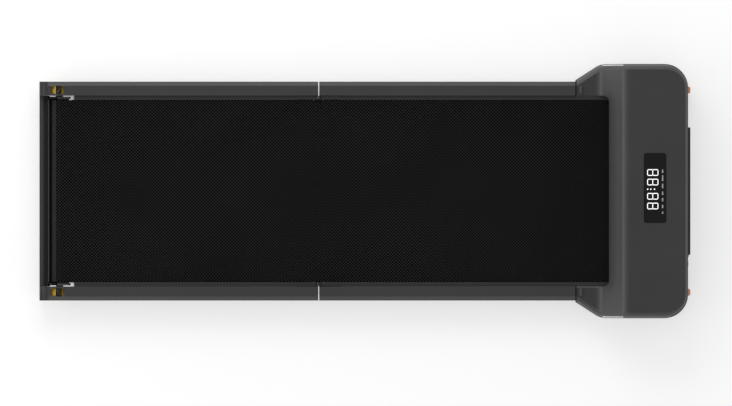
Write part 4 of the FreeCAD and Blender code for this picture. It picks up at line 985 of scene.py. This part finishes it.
def diamond_rows(name, x_start, columns, top):
    """Raised diamonds in staggered rows across the belt, from one modelled pair."""
    pad = sizes()
    pitch, sunk, top_share = pad.diamond_pitch, 0.0001, 0.75
    rows = int((BELT_HIGH.y - BELT_LOW.y) / pitch)
    first_y = -(rows - 1) * pitch / 2
    pair = []
    for step in (-pitch / 4, pitch / 4):
        let_go()
        place = (x_start + pitch / 2 + step, first_y + step, top + (pad.diamond_rise - sunk) / 2)
        bpy.ops.mesh.primitive_cone_add(
            vertices=4, radius1=pad.diamond_reach, radius2=pad.diamond_reach * top_share,
            depth=pad.diamond_rise + sunk, location=place)
        pair.append(settle(bpy.context.object, "diamond"))
    field = join(name, pair)
    for count, step in ((columns, (pitch, 0, 0)), (rows, (0, pitch, 0))):
        modify(field, "ARRAY", count=count, use_relative_offset=False, use_constant_offset=True,
               constant_offset_displace=step)
    paint(field, "belt_diamond")
    return field


def wrapped_diamonds(name, axis, side):
    """Rows of raised diamonds round a roller."""
    turns, sunk = 9, 0.0002
    step = math.pi / turns
    wrap = diamond_rows(name, axis.x - sizes().diamond_pitch / 2, 1, BELT_HIGH.z - sunk)
    wrap.location = axis
    wrap.data.transform(Matrix.Translation(-axis))
    wrap.rotation_euler = (0, side * step / 2, 0)
    settle(wrap, name)
    edit(wrap)
    bpy.ops.mesh.spin(steps=turns - 1, dupli=True, angle=-side * step * (turns - 1), center=axis,
                      axis=(0, 1, 0))
    leave()
    return wrap


def belt_half(name, body, node, fold_x, trim_x, axis_x):
    """One half of the belt: walking run, wrap round its roller and returning run, with raised diamonds."""
    pitch, wrap_steps = sizes().diamond_pitch, 24
    axis = Vector((axis_x, 0, ROLLER_Z))
    side = 1 if axis_x > fold_x else -1
    start, end = sorted((fold_x, axis_x))
    strip = block(name, (start, BELT_LOW.y, BELT_HIGH.z - BELT_THICK), (end, BELT_HIGH.y, BELT_HIGH.z))
    edit(strip)
    choose(strip, "FACE", lambda face: face.normal.x * side > 0.9)
    bpy.ops.mesh.spin(steps=wrap_steps, angle=-math.pi * side, center=axis, axis=(0, 1, 0))
    bpy.ops.mesh.extrude_region_move(TRANSFORM_OT_translate={"value": (trim_x - axis_x, 0, 0)})
    bpy.ops.mesh.select_all(action="SELECT")
    bpy.ops.mesh.remove_doubles(threshold=NEAR)
    bpy.ops.mesh.normals_make_consistent(inside=False)
    leave()
    paint(strip, "belt_rubber", "belt_back")
    hold_pattern(strip)
    for face in strip.data.polygons:
        face.material_index = int(face.center.z < BELT_LOW.z + RETURN_DEPTH)
    columns = int(abs(axis_x - fold_x) / pitch + 0.1)
    first_x = fold_x if side > 0 else fold_x - columns * pitch
    field = diamond_rows(name + "_diamonds", first_x, columns, BELT_HIGH.z)
    wrap = wrapped_diamonds(name + "_wrap", axis, side)
    belt = shade(join(name, [strip, field, wrap]), 25)
    ride_as(belt, "belt_rubber", body, node)


def fold_stretch(name, half_long, across, low, high, look="belt_rubber", diamonds=False):
    """A stretch of the belt, or of a rubber strip beside it, across the fold, in thin slices along the pad."""
    stretch = block(name, (FOLD.x - half_long, across[0], low), (FOLD.x + half_long, across[1], high))
    edit(stretch)
    slice_evenly(FOLD.x, half_long, 36)
    leave()
    paint(stretch, look)
    hold_pattern(stretch)
    if diamonds:
        columns = round(2 * half_long / sizes().diamond_pitch)
        field = diamond_rows(name + "_diamonds", FOLD.x - half_long, columns, high)
        stretch = join(name, [stretch, field])
    shade(stretch, 25)
    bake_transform(stretch)
    return stretch


def make_belt():
    """Both halves of the walking belt, its two stretches across the fold, and the strips beside it."""
    upper, lower = sizes().diamond_pitch * 1.5, 0.040
    bend_half, strip_inner, strip_outer = 0.20035, 0.195, 0.2098
    strip_low, strip_high = 0.0490, 0.0500
    belt_half("walking_belt_front", "pad_front", "belt_front", FOLD.x + upper, FOLD.x + lower, DRIVE_X)
    belt_half("walking_belt_rear", "pad_rear", "belt_rear", FOLD.x - upper, FOLD.x - lower, REAR_X)
    walking = fold_stretch("walking_belt_bend", upper, (-bend_half, bend_half), BELT_HIGH.z - BELT_THICK,
                           BELT_HIGH.z, diamonds=True)
    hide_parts("belt_fold")
    fold_stretch("return_belt_bend", lower, (BELT_LOW.y, BELT_HIGH.y), BELT_LOW.z, BELT_LOW.z + BELT_THICK,
                 "belt_back")
    for name, across in (("left", (strip_inner, strip_outer)), ("right", (-strip_outer, -strip_inner))):
        fold_stretch(f"seam_strip_{name}", upper, across, strip_low, strip_high, "seam_rubber")


def belt_loop(name, grow, low_y, high_y):
    """A solid round both pulleys, a distance beyond the face that the ribbed belt runs on."""
    flange, sides = 0.002, 64
    ends = []
    for node in ("drive_pulley", "motor_pulley"):
        low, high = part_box(node)
        place = (low + high) / 2
        place.y = (low_y + high_y) / 2
        ends.append(disc(name, place, (high.z - low.z) / 2 - flange + grow, high_y - low_y, "y", sides))
    loop = join(name, ends)
    edit(loop)
    bpy.ops.mesh.convex_hull(use_existing_faces=False)
    bpy.ops.mesh.select_all(action="SELECT")
    bpy.ops.mesh.dissolve_limited(angle_limit=0.001)
    bpy.ops.mesh.normals_make_consistent(inside=False)
    leave()
    return loop


def make_drive_belt():
    """Ribbed belt from the motor to the drive roller: a band with grooves along its inner face."""
    outer, inner, groove_floor = 0.0018, 0.0003, 0.0009
    groove_pitch, groove_half = 0.0024, 0.0005
    low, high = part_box("drive_belt")
    band = belt_loop("ribbed_drive_belt", outer, low.y, high.y)
    cut(band, belt_loop("band_cutter", inner, low.y - PAST, high.y + PAST))
    for step in range(-2, 3):
        middle = (low.y + high.y) / 2 + step * groove_pitch
        cut(band, belt_loop("rib_cutter", groove_floor, middle - groove_half, middle + groove_half))
    dress(shade(band, 30), SLOT_OF["drive_belt"], BODY_OF["drive_belt"], "drive_belt")


# Wheels

def make_wheels():
    """Four wheels with round treads, recessed sides and bored hubs."""
    tread_round, bore = 0.0048, 0.00405
    rings = (0.0006, 0), (0.0004, 0.0018), (0.0066, 0), (0.0004, -0.0018)   # width and depth, from outside in
    for node in ("front_wheel_left", "front_wheel_right", "rear_wheel_left", "rear_wheel_right"):
        low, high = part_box(node)
        centre, radius, width = (low + high) / 2, (high.z - low.z) / 2, high.y - low.y
        wheel = disc(node + "_tread", centre, radius, width, "y", sizes().wheel_sides)
        edit(wheel)
        choose(wheel, "FACE", lambda face: abs(face.normal.y) > 0.9)
        bpy.ops.mesh.bevel(offset=tread_round, segments=6, affect="EDGES")
        choose(wheel, "FACE", lambda face: abs(face.normal.y) > 0.999)
        for ring, sink in rings:
            bpy.ops.mesh.inset(thickness=ring, depth=-sink, use_individual=True)
        leave()
        cut(wheel, disc("wheel_bore", centre, bore, width * 2, "y", 32))
        # painted light: the rear wheels take the lighter copy of the orange, as lit
        look = "painted_lit_orange_plastic" if node.startswith("rear") else "orange_plastic"
        dress(shade(wheel, 40), "orange_plastic", BODY_OF[node], node, look=look)


# Small pieces at the rear, on the wings and on the front

def make_bridges():
    """Dark bridges over the rear wheels, each with a slanting slot and a ribbed top."""
    half, slant = 0.0088, math.radians(50)
    slot_half = Vector((0.0065, 0.0009, PAST))
    rib_step, rib_half, rib_deep = 0.0048, 0.0006, 0.0008
    low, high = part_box("window_bridges")
    bridge = block("window_bridge_left", (low.x, high.y - 2 * half, low.z), (high.x, high.y, high.z))
    middle = Vector(((low.x + high.x) / 2, high.y - half, (low.z + high.z) / 2))
    slot = block("slot_cutter", -slot_half, slot_half)
    slot.rotation_euler = (0, 0, slant)
    slot.location = middle
    cut(bridge, settle(slot, "slot_cutter"))
    for side in (-1, 1):
        x = middle.x + side * rib_step
        cut(bridge, block("rib_cutter", (x - rib_half, low.y, high.z - rib_deep),
                          (x + rib_half, high.y + PAST, high.z + PAST)))
    soften(bridge, 0.0005)
    dress_pair(bridge, "dark_plastic", "pad_rear", "window_bridges")


def make_arches():
    """Arches over the rear wheels, seen through the rails' windows on both sides of the bridge, in a painted-light
    copy of the wheels' orange.
    """
    half, wide, thick = 0.0141, 0.00878, 0.0015
    crown_gap, foot_gap = 0.0008, 0.0065
    wheel_low, wheel_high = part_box("rear_wheel_left")
    centre = (wheel_low + wheel_high) / 2
    bridge_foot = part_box("window_bridges")[0].z
    crown, foot = bridge_foot - crown_gap, bridge_foot - foot_gap
    arch = block("wheel_arch_left", (centre.x - half, centre.y - wide, foot - thick),
                 (centre.x + half, centre.y + wide, foot))
    edit(arch)
    slice_evenly(centre.x, half, 20)
    leave()
    for vert in arch.data.vertices:
        across = (vert.co.x - centre.x) / half
        vert.co.z += (crown - foot) * (1 - across * across)
    soften(arch, 0.0005)
    dress_pair(arch, "orange_plastic", "pad_rear", look="painted_lit_orange_plastic")


def make_brackets():
    """Roller brackets with a notch and a hook, a painted highlight on top and painted shade below, and a sloping
    cover over each roller end.
    """
    low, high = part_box("roller_brackets")
    start, outer, inner, belt_side = low.x + 0.0034, high.y - 0.0006, high.y - 0.0032, 0.2005
    notch_start, notch_end, notch_floor = REAR_X - 0.008, REAR_X + 0.0085, 0.043
    hook_long, hook_thick, hook_sunk = 0.011, 0.006, 0.0005
    hook_wall, hook_stem, hook_notch, notch_past = 0.0021, 0.0072, 0.0048, 0.001
    cover_start, cover_end, cover_gap = REAR_X - 0.0045, high.x - 0.0115, 0.0001
    cover_low, cover_high, cover_rise = 0.045, 0.047, 0.0042
    bracket = block("roller_bracket_left", (start, inner, low.z), (high.x, outer, high.z))
    cut(bracket, block("notch_cutter", (notch_start, inner - PAST, notch_floor),
                       (notch_end, outer + PAST, high.z + PAST)))
    hook = block("bracket_hook", (high.x - hook_long, belt_side, high.z - hook_thick),
                 (high.x, inner + hook_sunk, high.z))
    cut(hook, block("hook_cutter", (high.x - hook_long - notch_past, belt_side + hook_wall,
                                    high.z - hook_notch), (high.x - hook_stem, inner, high.z + PAST)))
    modify(bracket, "BOOLEAN", operation="UNION", solver="EXACT", object=hook)
    bpy.data.objects.remove(hook)
    soften(bracket, 0.0003)
    cover = block("roller_end_cover_left", (cover_start, belt_side, cover_low),
                  (cover_end, inner - cover_gap, cover_high))
    edit(cover)
    choose(cover, "VERT", lambda vert: vert.co.y > (belt_side + inner) / 2)
    bpy.ops.transform.translate(value=(0, 0, cover_rise))
    leave()
    soften(cover, 0.0004)
    dress_pair(bracket, SLOT_OF["roller_brackets"], "pad_rear", "roller_brackets", look="bracket_highlight_and_shade")
    # painted light: the covers take lightened charcoal, against the shade they lie in
    dress_pair(cover, "charcoal_plastic", "pad_rear", look="hood_edge")


def make_end_caps():
    """Caps at the rails' rear ends with a rounded end, a crowned and grooved top and a round dent behind."""
    low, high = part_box("end_caps")
    inner, rail_gap, slope_run, slope_fall = 0.209, 0.0005, 0.009, 0.007
    upper, flat_top = high.z - 0.012, high.z - 0.001
    end_round, crown_x, crown_half, crown_rise = 0.0045, high.x - 0.0055, 0.004, 0.0011
    groove_x, groove_half, groove_deep = low.x + 0.0057, 0.0005, 0.0018
    dent_in, dent_down, dent_radius, dent_long = 0.0165, 0.006, 0.0032, 0.006
    cap = block("end_cap_left", (low.x, inner, low.z), (high.x - rail_gap, high.y, high.z))
    edit(cap)
    slice_at((0, high.y - slope_run, high.z), (0, slope_fall, slope_run), clear_outer=True, use_fill=True)
    choose(cap, "EDGE", lambda edge: spans(edge, Y, 0.002)
           and all(vert.co.x < low.x + NEAR and vert.co.z > upper for vert in edge.verts))
    bpy.ops.mesh.bevel(offset=end_round, segments=5, affect="EDGES")
    for step in range(-4, 5):
        slice_at((crown_x + crown_half * step / 4, 0, 0), (1, 0, 0))
    leave()
    for vert in cap.data.vertices:
        if vert.co.z > flat_top:
            across = (vert.co.x - crown_x) / crown_half
            vert.co.z -= crown_rise * (1 - max(0, 1 - across * across))
    groove = block("groove_cutter", (groove_x - groove_half, inner - PAST, high.z - groove_deep),
                   (groove_x + groove_half, high.y + PAST, high.z + PAST))
    dent = disc("dent_cutter", (low.x, high.y - dent_in, high.z - dent_down), dent_radius, dent_long, "x", 24)
    cut(cap, groove, dent)
    soften(cap, 0.0004)
    dress_pair(cap, "charcoal_plastic", "pad_rear", "end_caps")


def make_tray():
    """Dark guard under the tail bar: a plate round the rear roller, open under the belt, and a raised lip."""
    thick, half, bar_lap, deck_lap = 0.002, 0.2099, 0.004, 0.001
    belt_gap, roller_reach, step_in, step_deep = 0.00005, 0.0095, 0.0015, 0.0006
    lip_gap, lip_thick, lip_half, lip_top, lip_round = 0.0014, 0.0022, 0.2, 0.0497, 0.0009
    bar_low, bar_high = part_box("tail_bar")
    deck_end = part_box("deck_rear")[0].x
    top = bar_low.z
    tray = block("rear_guard", (bar_low.x + bar_lap, -half, top - thick), (deck_end + deck_lap, half, top))
    cut(tray, block("belt_cutter", (REAR_X - roller_reach, BELT_LOW.y - belt_gap, top - thick - PAST),
                    (deck_end + PAST, BELT_HIGH.y + belt_gap, top + PAST)))
    edit(tray)
    choose(tray, "FACE", lambda face: face.normal.z < -0.9)
    bpy.ops.mesh.inset(thickness=step_in, depth=step_deep)
    leave()
    soften(tray, 0.0003)
    # painted shade: the dark plate stands in for the shade round the rear roller, where the floor would show
    # through
    dress(tray, "dark_plastic", "pad_rear")
    lip_x = bar_high.x + lip_gap
    lip = block("rear_guard_lip", (lip_x, -lip_half, top - thick), (lip_x + lip_thick, lip_half, lip_top))
    round_off(lip, "EDGE", lambda edge: spans(edge, Y, lip_half)
              and all(vert.co.z > lip_top - NEAR for vert in edge.verts), lip_round, 4)
    soften(lip, 0.0002)
    dress(lip, "charcoal_plastic", "pad_rear")


def make_bumpers():
    """Oval rubber bumpers on the wings with round ends and rounded tops."""
    width, end_round, top_round = 0.0176, 0.00325, 0.0012
    low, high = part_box("wing_bumpers")
    bumper = block("wing_bumper_left", (low.x, high.y - width, low.z), (high.x, high.y, high.z))
    round_off(bumper, "EDGE", lambda edge: spans(edge, Z, 0.001), end_round, 8)
    round_off(bumper, "FACE", lambda face: face.normal.z > 0.9, top_round, 4)
    shade(bumper)
    dress_pair(bumper, SLOT_OF["wing_bumpers"], "pad_front", "wing_bumpers", look="bumper_rubber")


def make_strip():
    """Rubber strip along the hood's front with rounded edges and two long grooves."""
    corner, groove_step, groove_half, groove_deep, groove_end = 0.004, 0.006, 0.0012, 0.0012, 0.012
    low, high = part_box("front_strip")
    strip = block("front_strip_bar", low, high)
    round_off(strip, "EDGE", lambda edge: spans(edge, X, 0.001), corner, 4)
    for side in (-1, 1):
        middle = (low.z + high.z) / 2 + side * groove_step
        cut(strip, block("groove_cutter", (high.x - groove_deep, low.y + groove_end, middle - groove_half),
                         (high.x + PAST, high.y - groove_end, middle + groove_half)))
    soften(strip, 0.0008)
    dress(strip, SLOT_OF["front_strip"], "pad_front", "front_strip", look="strip_rubber")


# Stage

def lamp(name, place, size, power):
    """A soft rectangular lamp that shines at the pad's middle."""
    light = bpy.data.lights.new(name, "AREA")
    light.shape = "RECTANGLE"
    light.size, light.size_y = size
    light.energy = power
    obj = bpy.data.objects.new(name, light)
    obj.location = place
    obj.rotation_mode = "QUATERNION"
    obj.rotation_quaternion = (-Vector(place)).to_track_quat("-Z", "Y")
    bpy.context.scene.collection.objects.link(obj)


def whiten(tree, shader):
    """Let the camera see the floor nearer to white, with softer shadows, and add no light to the object."""
    white_share, white_strength = 0.42, 1.345
    path = tree.nodes.new("ShaderNodeLightPath")
    seen = path.outputs["Is Camera Ray"]
    for kind in ("Is Glossy Ray", "Is Transmission Ray"):
        seen = maths(tree, "MAXIMUM", seen, path.outputs[kind])
    white = tree.nodes.new("ShaderNodeEmission")
    white.inputs["Strength"].default_value = white_strength
    mix = tree.nodes.new("ShaderNodeMixShader")
    tree.links.new(maths(tree, "MULTIPLY", seen, white_share), mix.inputs["Fac"])
    tree.links.new(shader.outputs["BSDF"], mix.inputs[1])
    tree.links.new(white.outputs["Emission"], mix.inputs[2])
    tree.links.new(mix.outputs["Shader"], tree.nodes["Material Output"].inputs["Surface"])


def lay_floor():
    """White studio floor."""
    reach = 30
    floor = sheet("studio_floor", (-reach, -reach), (reach, reach), 0)
    material, tree, shader, place = new_finish("studio_floor")
    mottle = spread(tree, noise(tree, place, scale=2), 0.985, 1)
    tree.links.new(tones(tree, mottle, shaded(colours().floor, 0.98), colours().floor),
                   shader.inputs["Base Color"])
    shader.inputs["Roughness"].default_value = 0.9
    shader.inputs["Specular IOR Level"].default_value = 0.1
    floor.data.materials.append(material)
    whiten(tree, shader)


def light_studio():
    """Soft light from all round, bright along the horizon, most behind the pad's tail, and two lamps."""
    overhead, at_horizon, falloff = 0.40, 2.45, 3
    tail_share, hood_share = 1.25, 0.75
    world = bpy.data.worlds.new("studio")
    world.use_nodes = True
    tree = world.node_tree
    background = tree.nodes["Background"]
    direction = tree.nodes.new("ShaderNodeTexCoord").outputs["Generated"]
    low = maths(tree, "POWER", spread(tree, coordinate(tree, direction, "Z"), 1, 0, 0, 1), falloff)
    along = spread(tree, coordinate(tree, direction, "X"), tail_share, hood_share, -1, 1)
    glow = spread(tree, maths(tree, "MULTIPLY", low, along), overhead, at_horizon, 0, 1)
    glow.node.clamp = False
    tree.links.new(glow, background.inputs["Strength"])
    background.inputs["Color"].default_value = (1, 1, 1, 1)
    bpy.context.scene.world = world
    lamp("key", (-0.6, 2.8, 2.2), (2.8, 1.6), 43)
    lamp("side", (-3.4, 0, 1.3), (2.4, 1.2), 23)


def set_camera():
    """Camera straight above, so far off that it sees no perspective to speak of."""
    sensor, distance = 36, 36.0
    photo_wide, pixel, trim = 732, 0.0022, 1.0009
    camera = bpy.data.cameras.new("photo_camera")
    camera.sensor_fit = "HORIZONTAL"
    camera.sensor_width = sensor
    camera.lens = sensor * distance / (photo_wide * pixel * trim)
    camera.clip_end = 100
    eye = bpy.data.objects.new("photo_camera", camera)
    eye.location = (0.002, -0.0262, distance)
    bpy.context.scene.collection.objects.link(eye)
    bpy.context.scene.camera = eye


def make_stage():
    """White floor, soft light with a bright horizon, and the camera straight above."""
    bpy.context.scene.view_settings.view_transform = "Standard"
    lay_floor()
    light_studio()
    set_camera()


# Operators

class PAD_OT_finishes(bpy.types.Operator):
    """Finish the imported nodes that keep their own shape"""
    bl_idname = "pad.finishes"
    bl_label = "Finish packed nodes"
    bl_options = {"REGISTER", "UNDO"}

    def execute(self, context):
        finish_nodes()
        return {"FINISHED"}


class PAD_OT_hood(bpy.types.Operator):
    """Model the hood cover"""
    bl_idname = "pad.hood"
    bl_label = "Hood cover"
    bl_options = {"REGISTER", "UNDO"}

    def execute(self, context):
        make_hood()
        return {"FINISHED"}


class PAD_OT_display(bpy.types.Operator):
    """Model the display lens and its digits"""
    bl_idname = "pad.display"
    bl_label = "Display"
    bl_options = {"REGISTER", "UNDO"}

    def execute(self, context):
        make_display()
        return {"FINISHED"}


class PAD_OT_belt(bpy.types.Operator):
    """Model the walking belt with its raised diamonds"""
    bl_idname = "pad.belt"
    bl_label = "Walking belt"
    bl_options = {"REGISTER", "UNDO"}

    def execute(self, context):
        make_belt()
        return {"FINISHED"}


class PAD_OT_drive_belt(bpy.types.Operator):
    """Model the ribbed belt between the motor and the drive roller"""
    bl_idname = "pad.drive_belt"
    bl_label = "Drive belt"
    bl_options = {"REGISTER", "UNDO"}

    def execute(self, context):
        make_drive_belt()
        return {"FINISHED"}


class PAD_OT_wheels(bpy.types.Operator):
    """Model the four wheels"""
    bl_idname = "pad.wheels"
    bl_label = "Wheels"
    bl_options = {"REGISTER", "UNDO"}

    def execute(self, context):
        make_wheels()
        return {"FINISHED"}


class PAD_OT_bridges(bpy.types.Operator):
    """Model the bridges over the rear wheels"""
    bl_idname = "pad.bridges"
    bl_label = "Wheel bridges"
    bl_options = {"REGISTER", "UNDO"}

    def execute(self, context):
        make_bridges()
        return {"FINISHED"}


class PAD_OT_arches(bpy.types.Operator):
    """Model the gold arches over the rear wheels"""
    bl_idname = "pad.arches"
    bl_label = "Wheel arches"
    bl_options = {"REGISTER", "UNDO"}

    def execute(self, context):
        make_arches()
        return {"FINISHED"}


class PAD_OT_brackets(bpy.types.Operator):
    """Model the roller brackets and the covers over the roller's ends"""
    bl_idname = "pad.brackets"
    bl_label = "Roller brackets"
    bl_options = {"REGISTER", "UNDO"}

    def execute(self, context):
        make_brackets()
        return {"FINISHED"}


class PAD_OT_end_caps(bpy.types.Operator):
    """Model the caps at the rails' rear ends"""
    bl_idname = "pad.end_caps"
    bl_label = "Rail end caps"
    bl_options = {"REGISTER", "UNDO"}

    def execute(self, context):
        make_end_caps()
        return {"FINISHED"}


class PAD_OT_tray(bpy.types.Operator):
    """Model the guard under the rear roller"""
    bl_idname = "pad.tray"
    bl_label = "Rear guard"
    bl_options = {"REGISTER", "UNDO"}

    def execute(self, context):
        make_tray()
        return {"FINISHED"}


class PAD_OT_bumpers(bpy.types.Operator):
    """Model the bumpers on the wings"""
    bl_idname = "pad.bumpers"
    bl_label = "Wing bumpers"
    bl_options = {"REGISTER", "UNDO"}

    def execute(self, context):
        make_bumpers()
        return {"FINISHED"}


class PAD_OT_strip(bpy.types.Operator):
    """Model the rubber strip on the hood's front"""
    bl_idname = "pad.strip"
    bl_label = "Front strip"
    bl_options = {"REGISTER", "UNDO"}

    def execute(self, context):
        make_strip()
        return {"FINISHED"}


class PAD_OT_stage(bpy.types.Operator):
    """Set the floor, the light and the camera"""
    bl_idname = "pad.stage"
    bl_label = "Stage"
    bl_options = {"REGISTER", "UNDO"}

    def execute(self, context):
        make_stage()
        return {"FINISHED"}


STEPS = (PAD_OT_finishes, PAD_OT_hood, PAD_OT_display, PAD_OT_belt, PAD_OT_drive_belt, PAD_OT_wheels,
         PAD_OT_bridges, PAD_OT_arches, PAD_OT_brackets, PAD_OT_end_caps, PAD_OT_tray, PAD_OT_bumpers,
         PAD_OT_strip, PAD_OT_stage)


class PAD_PT_sidebar(bpy.types.Panel):
    """Sizes, colours and steps of the walking pad"""
    bl_idname = "PAD_PT_sidebar"
    bl_label = "Walking pad"
    bl_space_type = "VIEW_3D"
    bl_region_type = "UI"
    bl_category = "Walking pad"

    def draw(self, context):
        for group in (context.scene.pad_sizes, context.scene.pad_colours):
            for name in group.__annotations__:
                self.layout.prop(group, name)
        for step in STEPS:
            self.layout.operator(step.bl_idname)


CLASSES = (PadSizes, PadColours, *STEPS, PAD_PT_sidebar)


def register():
    for made in CLASSES:
        bpy.utils.register_class(made)
    bpy.types.Scene.pad_sizes = PointerProperty(type=PadSizes)
    bpy.types.Scene.pad_colours = PointerProperty(type=PadColours)


def unregister():
    del bpy.types.Scene.pad_colours
    del bpy.types.Scene.pad_sizes
    for made in reversed(CLASSES):
        bpy.utils.unregister_class(made)


def main():
    register()
    bpy.ops.pad.finishes()
    bpy.ops.pad.hood()
    bpy.ops.pad.display()
    bpy.ops.pad.belt()
    bpy.ops.pad.drive_belt()
    bpy.ops.pad.wheels()
    bpy.ops.pad.bridges()
    bpy.ops.pad.arches()
    bpy.ops.pad.brackets()
    bpy.ops.pad.end_caps()
    bpy.ops.pad.tray()
    bpy.ops.pad.bumpers()
    bpy.ops.pad.strip()
    bpy.ops.pad.stage()


if __name__ == "__main__":
    main()
